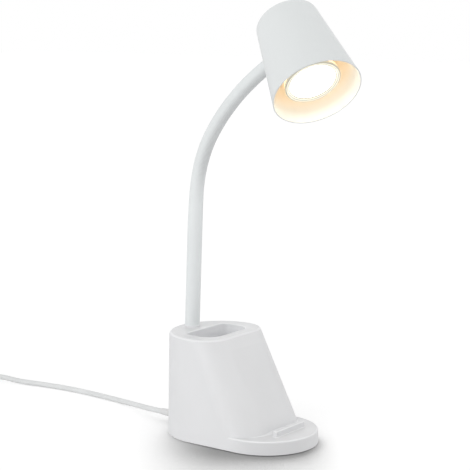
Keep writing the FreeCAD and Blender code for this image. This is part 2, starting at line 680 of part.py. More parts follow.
def swivel_pieces():
    """The collar and the seat that grip the shade's wall, and the neck's own stud, washer and nut."""
    place, shade_place = swivel_frame(), shade_frame()
    outside, inside = shade_solid(), shade_solid(-size("shade_wall") / math.cos(wall_lean()))
    for tool in (outside, inside):
        tool.Placement = place.inverse().multiply(shade_place)
    bore = size("stud_diameter") / 2 + size("stud_clearance")
    reach = number("collar_length+8")

    def tube(radius, low, high):
        out = Part.makeCylinder(radius, high - low, V(0, 0, low))
        return out.cut(Part.makeCylinder(bore, high - low + 2, V(0, 0, low - 1)))

    collar = tube(size("collar_diameter") / 2, size("swivel_gap"), reach).cut(outside)
    collar = sorted(collar.Solids, key=lambda s: s.BoundBox.ZMin)[0]
    seat_end = number("collar_length+shade_wall+seat_length")
    seat = tube(size("seat_diameter") / 2, 0.0, seat_end).common(inside)
    made = [plain("swivel_collar", collar), plain("swivel_seat", seat.Solids[0])]
    low = number("collar_length+shade_wall+seat_length+swivel_gap")
    stud = turned("head_stud", stud_profile("0", head_stud_length()))
    washer = turned("head_washer", ring_section("stud_diameter/2+stud_clearance", "washer_diameter/2",
                                                "0", "washer_thickness"))
    nut = hex_nut("head_nut", "nut_flats", "stud_diameter/2", "nut_height")
    for piece, height in ((washer, low), (nut, low + size("washer_thickness")), (stud, 0.0)):
        piece.Placement = place.multiply(at(0, 0, height))
    for piece in made:
        piece.Placement = place
    return made + [stud, washer, nut]


def bulb_base_height():
    return f"{BULB_INSET}+bulb_length"


def bulb():
    """A reflector lamp: body, front ring, lens, light board and its two locking pins."""
    place = shade_frame()
    top, front, rear = bulb_base_height(), BULB_INSET, f"{BULB_INSET}+bezel_height"
    inner, waist = "bulb_radius-bezel_width-bulb_wall", "bulb_radius*0.68"
    body = turned("bulb_body", [
        (inner, rear), ("bulb_radius-0.2", rear), ("bulb_radius-0.4", f"{rear}+3"),
        ("bulb_radius*0.86", f"{rear}+bulb_flare"), (waist, f"{rear}+bulb_waist"),
        ("bulb_neck+0.6", f"{rear}+bulb_throat"), ("bulb_neck", f"{rear}+bulb_throat+2"),
        ("bulb_neck", f"{top}-0.8"), ("bulb_neck-0.8", top), ("0", top), ("0", f"{top}-3"),
        ("bulb_neck-1.6", f"{top}-3"), ("bulb_neck-1.6", f"{rear}+bulb_throat+1"),
        (f"{waist}-1.4", f"{rear}+bulb_waist"), (f"{inner}-2.4", f"{rear}+bulb_flare")])
    lens_z, lip = f"{front}+1.6", "bulb_radius-bezel_width-lens_lip"
    bezel = turned("bulb_bezel", [
        (lip, f"{front}+1.0"), ("bulb_radius-bezel_width", f"{front}+0.5"),
        ("bulb_radius-bezel_width+0.3", front), ("bulb_radius-0.5", front), ("bulb_radius", f"{front}+0.5"),
        ("bulb_radius", rear), (inner, rear), (inner, lens_z), (lip, lens_z)])
    disc = ring_section("0", f"{inner}-0.1", lens_z, f"{lens_z}+1.2")
    lens = turned("bulb_lens", disc)
    board_z = f"{rear}+board_height"
    board = turned("bulb_board", ring_section("0", f"{inner}-2.4-board_gap", board_z, f"{board_z}+1.6"))
    head = "pin_shank_length+pin_head_height"
    pin = turned("bulb_pin", [
        ("0", "0"), ("pin_shank/2", "0"), ("pin_shank/2", "pin_shank_length"),
        ("pin_head/2", "pin_shank_length"), ("pin_head/2", f"{head}-0.4"), ("pin_head/2-0.4", head),
        ("0", head)])
    pins = group("bulb_pins", pin, [place.multiply(at(0, side * size("pin_pitch") / 2, number(top)))
                                    for side in (-1, 1)])
    for piece in (body, bezel, lens, board):
        piece.Placement = place
    return [body, bezel, lens, board, pins]


def lamp_holder():
    """The ceramic holder: two keyhole slots in its face and a round chamber for the pin heads."""
    low = f"{bulb_base_height()}+holder_gap"
    high = f"{low}+holder_height"
    step = "holder_radius-holder_step"
    room_low, room_high = f"{low}+holder_face", f"{low}+holder_face+holder_room"
    reach = "pin_head/2+pin_clearance+0.3"
    body = turned("lamp_holder",
                  [("0", low), ("holder_radius", low), ("holder_radius", high), (step, high),
                   (step, f"{high}+holder_boss"), ("0", f"{high}+holder_boss")],
                  ring_section(f"pin_pitch/2-({reach})", f"pin_pitch/2+{reach}", room_low, room_high))
    slots = new_sketch(body, "XY_Plane", low, "slots")
    entries = new_sketch(body, "XY_Plane", low, "entries")
    for locked in (90, 270):
        bent_slot(slots, "pin_pitch/2", "pin_shank/2+pin_clearance", str(locked), f"{locked}+lock_turn")
        circle(entries, f"pin_pitch/2*cos({locked}+lock_turn)", f"pin_pitch/2*sin({locked}+lock_turn)",
               "pin_head/2+pin_clearance")
    solid_of(body, "Pocket", slots, "holder_face+1", True)
    solid_of(body, "Pocket", entries, "holder_face+1", True)
    screws = new_sketch(body, "XY_Plane", f"{high}+holder_boss", "screw_holes")
    for side in ("-1", "1"):
        circle(screws, f"{side}*bracket_screw_pitch/2", "0", "bracket_screw/2")
    solid_of(body, "Pocket", screws, "bracket_screw_length")
    body.Placement = shade_frame()
    return body


def bent_slot(made, radius, half, start, end):
    """A slot bent about the origin, with round ends."""
    def spot(reach, angle):
        return f"({reach})*cos({angle})", f"({reach})*sin({angle})"

    outer, inner = f"{radius}+{half}", f"{radius}-({half})"
    outline(made, [(*spot(outer, start), "0", "0", "x"), (*spot(outer, end), *spot(radius, end), "x"),
                   (*spot(inner, end), "0", "0", "-x"), (*spot(inner, start), *spot(radius, start), "x")])


def holder_bracket():
    """A bent strip welded under the shade's top, and the two screws that carry the holder."""
    low = f"{bulb_base_height()}+holder_gap+holder_height+holder_boss"
    top, thick = "shade_length-shade_wall", "bracket_thickness"
    reach, foot = "bracket_reach", "bracket_foot"
    body = new_body("holder_bracket")
    strip = new_sketch(body, "XZ_Plane", name="strip")
    web, under, leg = f"{low}+{thick}", f"{top}-{thick}", f"({reach}-{thick})"
    half = [(reach, low), (reach, top), (f"({reach}-{foot})", top), (f"({reach}-{foot})", under),
            (leg, under), (leg, web)]
    outline(strip, half + [(f"-{x}", z) for x, z in reversed(half)])
    pad = solid_of(body, "Pad", strip, "bracket_width")
    pad.Midplane = True
    holes = new_sketch(body, "XY_Plane", low, "holes")
    circle(holes, "0", "0", "3")
    for side in ("-1", "1"):
        circle(holes, f"{side}*bracket_screw_pitch/2", "0", "bracket_screw/2+0.35")
    solid_of(body, "Pocket", holes, f"{thick}+1", True)
    body.Placement = shade_frame()
    pin = screw("bracket_screw_master", "bracket_screw", "bracket_screw_head", "1.6",
                "bracket_screw_length+bracket_thickness-0.3")
    height, pitch = number(web), size("bracket_screw_pitch")
    spots = [body.Placement.multiply(at(side * pitch / 2, 0, height, FLIP)) for side in (-1, 1)]
    return [body, group("bracket_screws", pin, spots)]


# ---------------------------------------------------------------- wires and cord
def arcs_through(points, share=0.45):
    """The edges of a route: straight runs joined by tangent arcs, and the arcs' radii."""
    edges, radii, here = [], [], points[0]
    for a, b, c in zip(points, points[1:], points[2:]):
        before, after = (a - b), (c - b)
        cut = share * min(before.Length, after.Length)
        before.normalize()
        after.normalize()
        half_turn = (math.pi - before.getAngle(after)) / 2
        start, end = b + before * cut, b + after * cut
        radius = cut / math.tan(half_turn)
        middle = (before + after).normalize()
        centre = b + middle * math.hypot(radius, cut)
        edges.append(Part.LineSegment(here, start).toShape())
        edges.append(Part.Arc(start, centre - middle * radius, end).toShape())
        radii.append(radius)
        here = end
    edges.append(Part.LineSegment(here, points[-1]).toShape())
    return edges, radii


def tube_on(label, points, diameter, share=0.45):
    """A round tube along a route. Its radii and volume are printed and compared."""
    edges, radii = arcs_through(points, share)
    path = Part.Wire(edges)
    ring = Part.Wire(Part.makeCircle(diameter / 2, points[0], points[1] - points[0]))
    solid = path.makePipeShell([ring], True, True)
    solid = Part.Solid(solid) if solid.ShapeType != "Solid" else solid
    ideal = path.Length * math.pi * diameter ** 2 / 4
    print(label, "length", round(path.Length, 1), "radii", [round(r, 1) for r in radii],
          "volume over section times length", round(solid.Volume / ideal, 5))
    return solid


def switch_frame():
    return at(size("switch_x"), size("switch_y"), 0, FreeCAD.Rotation(V(0, 0, 1), size("switch_heading")))


def cord_routes():
    """The three free stretches: base to switch, switch to coil and coil to plug."""
    high, low = size("cord_exit_height"), size("cord_diameter") / 2
    tip = -size("base_length") / 2 - size("relief_length")
    middle = size("switch_split")
    reach = size("switch_length") / 2 - size("switch_grip")
    enter, before = (switch_frame().multVec(V(-x, 0, middle)) for x in (reach, reach + 18))
    leave, after = (switch_frame().multVec(V(x, 0, middle)) for x in (reach, reach + 16))
    relief = V(size("plug_x"), size("plug_y"), size("plug_thickness") / 2)
    to_switch = [V(tip, 0, high), V(-112, 0, high), V(-137, 10.4, 5.2), V(-166, 20.0, low),
                 V(-200, 23.2, low), V(-239.5, 25.0, low), V(-279, 20.5, low), V(-305, 14.0, 3.2),
                 before, enter]
    to_coil = [leave, after, V(-411.5, -24.7, 3.6), V(-418.5, -27.6, 2.75)]
    to_plug = [V(-399.5, -107.7, 8.0), V(-384, -107.6, 7.3), V(-367, -107.4, relief.z), relief]
    return to_switch, to_coil, to_plug


def mains_cord():
    width = size("cord_diameter")
    tubes = [tube_on(f"mains_cord {i}", route, width) for i, route in enumerate(cord_routes(), start=1)]
    return plain("mains_cord", Part.Compound(tubes))


def inner_lead():
    """The cord's jacket inside the base, gripped by the bushing and the clamp."""
    body = turned("inner_lead", ring_section("0", "cord_diameter/2", "base_length/2-lead_back",
                                             "base_length/2+relief_length"))
    body.Placement = at(0, 0, size("cord_exit_height"), TO_REAR)
    return body


def cord_bushing():
    """The tapered strain relief: a flange outside, a groove on the wall and a soft tail."""
    collar, seat, flange = "relief_hole/2+relief_lip", "relief_hole/2-0.1", "relief_flange/2"
    bore = "cord_diameter/2+bore_gap"
    body = turned("cord_bushing", [
        (bore, "-shell_wall-2.2"), (collar, "-shell_wall-2.2"), (collar, "-shell_wall-0.7"),
        (seat, "-shell_wall-0.7"), (seat, "0.35"), (flange, "0.35"),
        (flange, "0.35+relief_flange_thickness*0.6"), ("relief_root/2+0.4", "0.35+relief_flange_thickness"),
        ("relief_tip/2", "relief_length-0.3"), ("relief_tip/2-0.3", "relief_length"),
        (bore, "relief_length")])
    body.Placement = at(-size("base_length") / 2, 0, size("cord_exit_height"), TO_REAR)
    return body


def terminal_block():
    """A two-way block with through bores and four clamping screws."""
    floor = "base_lift+cover_thickness"
    body = new_body("terminal_block")
    plan = new_sketch(body, "XY_Plane", floor, "plan")
    front = f"{BLOCK_REAR}+block_length"
    outline(plan, [(BLOCK_REAR, "-block_width/2"), (front, "-block_width/2"), (front, "block_width/2"),
                   (BLOCK_REAR, "block_width/2")])
    solid_of(body, "Pad", plan, "block_height")
    bores = new_sketch(body, "YZ_Plane", f"{BLOCK_REAR}-1", "bores")
    for side in ("-1", "1"):
        circle(bores, f"{side}*block_width/4", f"{floor}+block_bore_height", "block_bore/2")
    solid_of(body, "Pocket", bores, "block_length+2", True)
    tops = new_sketch(body, "XY_Plane", f"{floor}+block_height", "screw_holes")
    spots = [(x, f"{side}*block_width/4") for x in (f"{BLOCK_REAR}+grub_margin", f"{front}-grub_margin")
             for side in ("-1", "1")]
    for x, y in spots:
        circle(tops, x, y, "grub_diameter/2")
    solid_of(body, "Pocket", tops, "block_height-block_bore_height-0.6")
    grub = turned("terminal_screw", ring_section("0", "grub_diameter/2-0.02", "0", "grub_length"))
    height = number(f"{floor}+block_height-grub_length-0.6")
    return [body, group("terminal_screws", grub, [at(number(x), number(y), height) for x, y in spots])]


def cord_clamp():
    """The bar that holds the cord's jacket against a pull, and its two screws."""
    floor = "base_lift+cover_thickness"
    top = "cord_exit_height+cord_diameter/2+clamp_over_cord"
    body = new_body("cord_clamp")
    plan = new_sketch(body, "XY_Plane", floor, "plan")
    front, middle = f"{CLAMP_REAR}+clamp_length", f"{CLAMP_REAR}+clamp_length/2"
    outline(plan, [(CLAMP_REAR, "-clamp_width/2"), (front, "-clamp_width/2"), (front, "clamp_width/2"),
                   (CLAMP_REAR, "clamp_width/2")])
    solid_of(body, "Pad", plan, f"{top}-({floor})")
    bore = new_sketch(body, "YZ_Plane", f"{CLAMP_REAR}-1", "bore")
    circle(bore, "0", "cord_exit_height", "cord_diameter/2+bore_gap")
    solid_of(body, "Pocket", bore, "clamp_length+2", True)
    holes = new_sketch(body, "XY_Plane", top, "screw_holes")
    for side in ("-1", "1"):
        circle(holes, middle, f"{side}*clamp_screw_pitch/2", "clamp_screw/2")
    solid_of(body, "Pocket", holes, f"{top}-({floor})-0.5")
    pin = screw("clamp_screw", "clamp_screw-0.02", "clamp_screw_head", "1.6", f"{top}-({floor})-1.5")
    half, height = size("clamp_screw_pitch") / 2, number(top)
    spots = [at(number(middle), side * half, height, FLIP) for side in (-1, 1)]
    return [body, group("clamp_screws", pin, spots)]


def base_wires():
    """Two conductors from the jacket to the block, and two more from the block up to the stud."""
    width, pitch = size("wire_diameter"), size("wire_pitch") / 2
    height = number("base_lift+cover_thickness+block_bore_height")
    step = size("block_width") / 4
    rear, front = number(BLOCK_REAR), number(f"{BLOCK_REAR}+block_length")
    top = number("deck_height-shell_wall-stud_tail-0.5")
    exit_x, exit_z = number("lead_back-base_length/2"), size("cord_exit_height")
    neck_x, slack = number(NECK_X), size("wire_slack")
    solids = []
    for side in (-1, 1):
        feed = [V(exit_x, side * pitch, exit_z), V(exit_x + 1.2, side * pitch, exit_z),
                V(rear - 1.0, side * step, height), V(rear + 2.4, side * step, height)]
        solids.append(tube_on(f"feed wire {side}", feed, width))
        rise = [V(front - 2.4, side * step, height), V(front + 1.6, side * step, height),
                V(front + 1.6, side * step, height + slack), V(neck_x + 3, side * 1.6, top - 2 * slack),
                V(neck_x, side * pitch, top - 6), V(neck_x, side * pitch, top)]
        solids.append(tube_on(f"rising wire {side}", rise, width))
    return plain("base_wires", Part.Compound(solids))


def head_wires():
    """Two heat-proof leads from the head's stud round the holder to its back."""
    place = swivel_frame()
    to_shade = shade_frame().inverse().multiply(place)
    start = number(head_stud_length())
    back = number(bulb_base_height() + "+holder_gap+holder_height")
    beside, inward = number("holder_radius+head_wire_out"), size("head_wire_back")
    fan, bow, end = (size(f"head_wire_{n}") for n in ("fan", "bow", "side"))
    solids = []
    for side in (-1, 1):
        begin = to_shade.multVec(V(0, side * 1.3, start))
        leave = to_shade.multVec(V(0, side * 1.9, start + 2.4))
        route = [begin, leave, V(-beside, side * 5.4, back - 7.0), V(0.6 - beside, side * fan, back + 1.5),
                 V(-inward - 3.8, side * bow, back + 4.6), V(-inward, side * end, back + 3.4),
                 V(-inward, side * end, back)]
        solids.append(tube_on(f"head lead {side}", route, size("wire_diameter")))
    made = plain("head_wires", Part.Compound(solids))
    made.Placement = shade_frame()
    return made


def cord_coil():
    """The coiled length as one closed ring, two layers of turns high."""
    cord = "cord_diameter"
    inner, outer, bevel = f"coil_inner-{cord}/2", f"coil_outer+{cord}/2", "1"
    body = turned("cord_coil", [
        (f"{inner}+{bevel}", "0"), (f"{outer}-{bevel}", "0"), (outer, bevel), (outer, f"2*{cord}-{bevel}"),
        (f"{outer}-{bevel}", f"2*{cord}"), (f"{inner}+{bevel}", f"2*{cord}"), (inner, f"2*{cord}-{bevel}"),
        (inner, bevel)])
    body.Placement = at(size("coil_x"), size("coil_y"), 0)
    return body


# ---------------------------------------------------------------- inline switch
def switch_plan(made, inset):
    """The switch's plan, or the same drawn in from its edge."""
    end, half, corner = (
        f"{name}-({inset})" for name in ("switch_length/2", "switch_width/2", "switch_corner"))
    return outline(made, rounded_box(f"-({end})", end, half, corner, corner))


def switch_shells():
    """The lower and the upper half, hollow, with half a cord bore in each end of each."""
    halves = []
    for label, low, high, open_up in (("switch_base", "0", "switch_split", True),
                                      ("switch_cover", "switch_split", "switch_height", False)):
        body = new_body(label)
        solid_of(body, "Pad", switch_plan(new_sketch(body, "XY_Plane", low, "plan"), "0"), f"{high}-({low})")
        outside = number(low if open_up else high)
        fillet_of(body, "switch_edge", lambda e: level(e, outside))
        mouth = new_sketch(body, "XY_Plane", "switch_split", "mouth")
        depth = f"{high}-({low})-switch_wall"
        solid_of(body, "Pocket", switch_plan(mouth, "switch_wall"), depth, not open_up)
        bosses = new_sketch(body, "XY_Plane", "switch_split", "bosses")
        grips = new_sketch(body, "XY_Plane", "switch_split", "grips")
        for side in ("-1", "1"):
            circle(bosses, f"{side}*switch_screw_pitch/2", f"{side}*switch_boss", "switch_boss/2")
            near, far = "switch_length/2-switch_grip-1", "switch_length/2-switch_wall/2"
            ends = (near, far) if side == "1" else (f"-({far})", f"-({near})")
            outline(grips, [(ends[0], "-5"), (ends[1], "-5"), (ends[1], "5"), (ends[0], "5")])
        solid_of(body, "Pad", bosses, f"{depth}+switch_wall/2", open_up)
        solid_of(body, "Pad", grips, f"{depth}+switch_wall/2", open_up)
        bore = new_sketch(body, "YZ_Plane", "-switch_length/2-1", "bore")
        circle(bore, "0", "switch_split", "cord_diameter/2+bore_gap")
        solid_of(body, "Pocket", bore, "switch_length+2", True)
        halves.append(body)
    lower, upper = halves
    holes = new_sketch(lower, "XY_Plane", "0", "screw_holes")
    sinks = new_sketch(lower, "XY_Plane", "0", "screw_sinks")
    pilots = new_sketch(upper, "XY_Plane", "switch_split", "pilots")
    for side in ("-1", "1"):
        spot = (f"{side}*switch_screw_pitch/2", f"{side}*switch_boss")
        circle(holes, *spot, "switch_screw/2+0.3")
        circle(sinks, *spot, "switch_screw_head/2+0.3")
        circle(pilots, *spot, "switch_screw/2")
    solid_of(lower, "Pocket", holes, "switch_split+1", True)
    solid_of(lower, "Pocket", sinks, "switch_sink", True)
    solid_of(upper, "Pocket", pilots, "switch_pilot", True)
    window = new_sketch(upper, "XY_Plane", "switch_height", "window")
    outline(window, rounded_box("-rocker_length/2-rocker_gap", "rocker_length/2+rocker_gap",
                                "rocker_width/2+rocker_gap", "0.4", "0.4"))
    solid_of(upper, "Pocket", window, "switch_wall*2")
    seat = new_sketch(upper, "XZ_Plane", name="seat")
    circle(seat, "0", "rocker_hinge", "rocker_pin/2+rocker_pin_gap")
    cut = solid_of(upper, "Pocket", seat, "rocker_width+2*rocker_pin_reach+2*rocker_gap")
    cut.Midplane = True
    pin = screw("switch_screw", "switch_screw", "switch_screw_head", "1.5",
                "switch_split-switch_sink+switch_pilot-0.2")
    along, across = size("switch_screw_pitch") / 2, size("switch_boss")
    spots = [switch_frame().multiply(at(side * along, side * across, size("switch_sink")))
             for side in (-1, 1)]
    for body in halves:
        body.Placement = switch_frame()
    return halves + [group("switch_screws", pin, spots)]


def rocker_frame():
    """The rocker's own frame on its hinge, tipped to the end of its travel."""
    tip = FreeCAD.Rotation(V(0, 1, 0), size("rocker_tilt"))
    return switch_frame().multiply(at(0, 0, size("rocker_hinge"), tip))


def switch_rocker():
    """A rocker with round ends about its hinge, so that its gap stays even as it tips."""
    body = new_body("switch_rocker")
    reach = "rocker_length/2"
    side, drop = f"sqrt(({reach})^2-rocker_rise^2)", f"sqrt(({reach})^2-rocker_drop^2)"
    made = new_sketch(body, "XZ_Plane", name="side")
    outline(made, [
        (f"-{drop}", "-rocker_drop"), (drop, "-rocker_drop", "0", "0", "x"), (side, "rocker_rise"),
        ("0", "rocker_rise-rocker_dip"), (f"-{side}", "rocker_rise", "0", "0", "x")])
    pad = solid_of(body, "Pad", made, "rocker_width")
    pad.Midplane = True
    doc.recompute()
    pin = circle(new_sketch(body, "XZ_Plane", name="pin"), "0", "0", "rocker_pin/2")
    pad = solid_of(body, "Pad", pin, "rocker_width+2*rocker_pin_reach")
    pad.Midplane = True
    body.Placement = rocker_frame()
    return body


def switch_contacts():
    """The fixed contacts under the rocker, one strip at each end of it."""
    body = new_body("switch_contacts")
    plan = new_sketch(body, "XY_Plane", "switch_wall", "plan")
    for side in ("-1", "1"):
        near, far, half = "contact_gap", "switch_length/2-switch_grip-2", "contact_width/2"
        ends = (near, far) if side == "1" else (f"-({far})", f"-({near})")
        outline(plan, [(ends[0], f"-{half}"), (ends[1], f"-{half}"), (ends[1], half), (ends[0], half)])
    solid_of(body, "Pad", plan, "contact_thickness")
    body.Placement = switch_frame()
    return body


# ---------------------------------------------------------------- plug
def plug_frame():
    """The plug's frame: origin where the cord meets its relief, +X to the pins."""
    return at(size("plug_x"), size("plug_y"), size("plug_thickness") / 2,
              FreeCAD.Rotation(V(0, 0, 1), size("plug_heading")))


def plug():
    body = new_body("plug_body")
    length, half, thick = "plug_length", "plug_width/2", "plug_thickness/2"
    plan = new_sketch(body, "XY_Plane", f"-{thick}", "plan")
    root, waist, throat = "plug_relief", "plug_relief+plug_length*0.34", "plug_throat/2"
    outline(plan, [(root, f"-({throat})"), (waist, f"-({half})"), (f"{root}+{length}", f"-({half})"),
                   (f"{root}+{length}", half), (waist, half), (root, throat)])
    solid_of(body, "Pad", plan, "plug_thickness")
    face, wide, tall = number(f"{root}+{length}") - 1, number(half), number(thick)
    fillet_of(body, "plug_corner", lambda e: e.BoundBox.ZLength > tall and e.BoundBox.XMax < face
              and abs(abs(e.BoundBox.YMax) - wide) < 0.01)
    fillet_of(body, "plug_edge", lambda e: e.BoundBox.ZLength < 0.01 and e.BoundBox.XMin < face)
    relief = new_sketch(body, "XZ_Plane", name="relief")
    outline(relief, [("0", "0"), (f"{root}+4", "0"), (f"{root}+4", "relief_root/2"), ("0.3", "relief_tip/2"),
                     ("0", "relief_tip/2-0.3")])
    turn = body.newObject("PartDesign::Revolution", "plug_relief_turn")
    turn.Profile = relief
    turn.ReferenceAxis = (relief, ["H_Axis"])
    turn.Angle = 360.0
    doc.recompute()
    sleeves = new_sketch(body, "YZ_Plane", f"{root}+{length}", "pin_sleeves")
    holes = new_sketch(body, "YZ_Plane", f"{root}+{length}-plug_pin_root", "pin_holes")
    for side in ("-1", "1"):
        circle(sleeves, f"{side}*plug_pin_pitch/2", "0", "plug_sleeve_diameter/2")
        circle(holes, f"{side}*plug_pin_pitch/2", "0", "plug_core/2")
    solid_of(body, "Pad", sleeves, "plug_sleeve")
    solid_of(body, "Pocket", holes, "plug_pin_root+plug_sleeve+1", True)
    body.Placement = plug_frame()
    end, half = "plug_pin_root+plug_pin_length", size("plug_pin_pitch") / 2
    bare = "plug_pin_root+plug_sleeve"
    pin = turned("plug_pin_master", [
        ("0", "0"), ("plug_core/2", "0"), ("plug_core/2", bare), ("plug_pin/2", bare),
        ("plug_pin/2", f"{end}-1"), ("plug_pin/2-0.9", end), ("0", end)])
    start = number(f"{root}+{length}-plug_pin_root")
    spots = [plug_frame().multiply(at(start, side * half, 0, TO_FRONT)) for side in (-1, 1)]
    return [body, group("plug_pins", pin, spots)]


# ---------------------------------------------------------------- build, check and write
def build():
    base = [base_housing(), bottom_cover(), foot_pad(), counterweight()] + underside_screws()
    inside = [inner_lead(), base_wires(), cord_bushing()] + terminal_block() + cord_clamp()
    head = [shade()] + swivel_pieces() + bulb() + [lamp_holder()] + holder_bracket() + [head_wires()]
    cord = [mains_cord(), cord_coil(), switch_rocker(), switch_contacts()] + switch_shells() + plug()
    return base + inside + foot_fixings() + neck() + head + cord


def check(pieces):
    doc.recompute()
    bad = [o.Label for o in doc.Objects if {"Invalid", "Error"} & set(o.State)]
    assert not bad, f"failed features: {bad}"
    for piece in pieces:
        shape = piece.Shape
        assert not shape.isNull() and shape.isValid() and shape.Volume > 0, f"bad shape: {piece.Label}"


def write(pieces):
    os.makedirs("parts", exist_ok=True)
    for piece in pieces:
        piece.Shape.exportStep(f"parts/{piece.Label}.step")
        print(f"{piece.Label:24s} solids {len(piece.Shape.Solids)} volume {piece.Shape.Volume:10.1f}")


PIECES = build()
check(PIECES)
write(PIECES)
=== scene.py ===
"""A white desk lamp: a moulded base with a pen well and a phone rest, a bendable neck in a
ribbed sleeve, a tapered shade with a flat LED bulb, and a mains lead with a rocker switch."""

import math

import bmesh
import bpy
from mathutils import Matrix, Vector


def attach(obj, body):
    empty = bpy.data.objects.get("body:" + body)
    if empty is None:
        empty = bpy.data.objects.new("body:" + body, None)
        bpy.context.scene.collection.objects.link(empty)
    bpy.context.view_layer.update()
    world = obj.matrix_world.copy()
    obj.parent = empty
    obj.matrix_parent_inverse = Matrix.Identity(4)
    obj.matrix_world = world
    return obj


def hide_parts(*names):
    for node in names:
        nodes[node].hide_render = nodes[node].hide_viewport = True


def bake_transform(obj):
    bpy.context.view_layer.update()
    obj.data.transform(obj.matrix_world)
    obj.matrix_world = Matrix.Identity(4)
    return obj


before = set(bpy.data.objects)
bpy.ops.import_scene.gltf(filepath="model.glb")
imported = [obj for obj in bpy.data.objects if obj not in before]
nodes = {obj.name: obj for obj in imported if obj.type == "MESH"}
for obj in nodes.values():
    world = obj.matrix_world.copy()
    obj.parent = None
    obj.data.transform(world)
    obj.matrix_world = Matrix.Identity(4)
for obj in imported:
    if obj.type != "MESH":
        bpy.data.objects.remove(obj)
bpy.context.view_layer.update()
bpy.ops.object.select_all(action="DESELECT")

# ------------------------------------------------------------------ camera
CAMERA_AT = Vector((0.8210, -1.1088, 0.4061))
CAMERA_AIM = Vector((-0.00864, 0.0, 0.18866))
CAMERA_LENS, CAMERA_SENSOR = 117.44, 36.0

bpy.ops.object.camera_add(location=CAMERA_AT)
camera = bpy.context.object
camera.name = "studio_camera"
camera.rotation_mode = "QUATERNION"
camera.rotation_quaternion = (CAMERA_AIM - CAMERA_AT).to_track_quat("-Z", "Y")
camera.data.sensor_width = CAMERA_SENSOR
camera.data.lens = CAMERA_LENS
camera.data.clip_end = 30.0
bpy.context.scene.camera = camera

# ------------------------------------------------------------------ mains lead
LEAD_WIDTH = 0.0054
LEAD_LOW = LEAD_WIDTH / 2
SWITCH_AT = Vector((-0.362, -0.006, 0.0066))
SWITCH_HEADING = math.radians(200)
COIL_AT = Vector((-0.4075, -0.0671, 0.0))
COIL_OUTER, COIL_INNER = 0.0406, 0.0217
COIL_LOW, COIL_HIGH = 0.0027, 0.0081
COIL_FROM = 114.0
TURNS_IN, TURNS_CLIMBING, TURNS_OUT = 3.5, 156.0 / 360.0, 3.5
POINTS_A_TURN = 16


def along_switch(distance):
    """A point on the switch's own line, which the lead enters and leaves on."""
    return SWITCH_AT + distance * Vector((math.cos(SWITCH_HEADING), math.sin(SWITCH_HEADING), 0))


def coil_points():
    """Turns wound inwards on the table, then outwards on top of them, and off at the side."""
    points = []
    turns = TURNS_IN + TURNS_CLIMBING + TURNS_OUT
    steps = round(turns * POINTS_A_TURN)
    widen = 1 / math.cos(math.pi / POINTS_A_TURN)
    for step in range(steps + 1):
        turn = turns * step / steps
        if turn < TURNS_IN:
            radius = COIL_OUTER + (COIL_INNER - COIL_OUTER) * turn / TURNS_IN
            height = COIL_LOW
        elif turn < TURNS_IN + TURNS_CLIMBING:
            radius = COIL_INNER
            height = COIL_LOW + (COIL_HIGH - COIL_LOW) * (turn - TURNS_IN) / TURNS_CLIMBING
        else:
            wound_out = (turn - TURNS_IN - TURNS_CLIMBING) / TURNS_OUT
            radius = COIL_INNER + (COIL_OUTER - COIL_INNER) * wound_out
            height = COIL_HIGH
        angle = math.radians(COIL_FROM + 360.0 * turn)
        reach = widen * radius
        points.append(COIL_AT + Vector((reach * math.cos(angle), reach * math.sin(angle), height)))
    return points


def lead(name, points):
    """A round flexible lead on one smooth line through its route."""
    curve = bpy.data.curves.new(name, "CURVE")
    curve.dimensions = "3D"
    spline = curve.splines.new("NURBS")
    spline.points.add(len(points) - 1)
    for spot, point in zip(spline.points, points):
        spot.co = (*point, 1.0)
    spline.order_u = 3
    spline.use_endpoint_u = True
    curve.resolution_u = 8
    curve.bevel_depth = LEAD_LOW
    curve.bevel_resolution = 5
    curve.use_fill_caps = True
    made = bpy.data.objects.new(name, curve)
    bpy.context.scene.collection.objects.link(made)
    return made


BASE_EXIT = Vector((-0.097, 0.0, 0.008))
to_switch = [BASE_EXIT, Vector((-0.112, 0.0, 0.008)), Vector((-0.137, 0.0104, 0.0052)),
             Vector((-0.166, 0.020, LEAD_LOW)), Vector((-0.200, 0.0232, LEAD_LOW)),
             Vector((-0.2395, 0.025, LEAD_LOW)), Vector((-0.279, 0.0205, LEAD_LOW)),
             Vector((-0.305, 0.014, 0.0032)), along_switch(-0.042), along_switch(-0.024)]
to_plug = [along_switch(0.024), along_switch(0.040), Vector((-0.4115, -0.0247, 0.0036)),
           Vector((-0.4185, -0.0276, 0.00275)), *coil_points(),
           Vector((-0.3995, -0.1077, 0.0080)), Vector((-0.384, -0.1076, 0.0073)),
           Vector((-0.367, -0.1074, 0.00685)), Vector((-0.3535, -0.1074, 0.00685))]

lead_to_switch = lead("lead_to_switch", to_switch)
lead_to_plug = lead("lead_to_plug", to_plug)
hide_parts("mains_cord")
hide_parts("mains_cord", "cord_coil")

# ------------------------------------------------------------------ shared surface effects
INPUTS = {"value": "NodeSocketFloat", "vector": "NodeSocketVector"}
POLISH_SCALE = 60.0
SPECK_SCALE = 1300.0
WEAR_SCALE = 240.0
FOAM_SCALE = 1400.0
DIMPLE_SCALE = 900.0
RIDGE_RADIUS = 0.0012


def effect(name, inputs, outputs):
    """An empty shared effect with named inputs and outputs."""
    group = bpy.data.node_groups.new(name, "ShaderNodeTree")
    for label, kind, value in inputs:
        socket = group.interface.new_socket(label, in_out="INPUT", socket_type=INPUTS[kind])
        socket.default_value = value
    for label, kind in outputs:
        group.interface.new_socket(label, in_out="OUTPUT", socket_type=INPUTS[kind])
    start = group.nodes.new("NodeGroupInput")
    end = group.nodes.new("NodeGroupOutput")
    return group, start, end


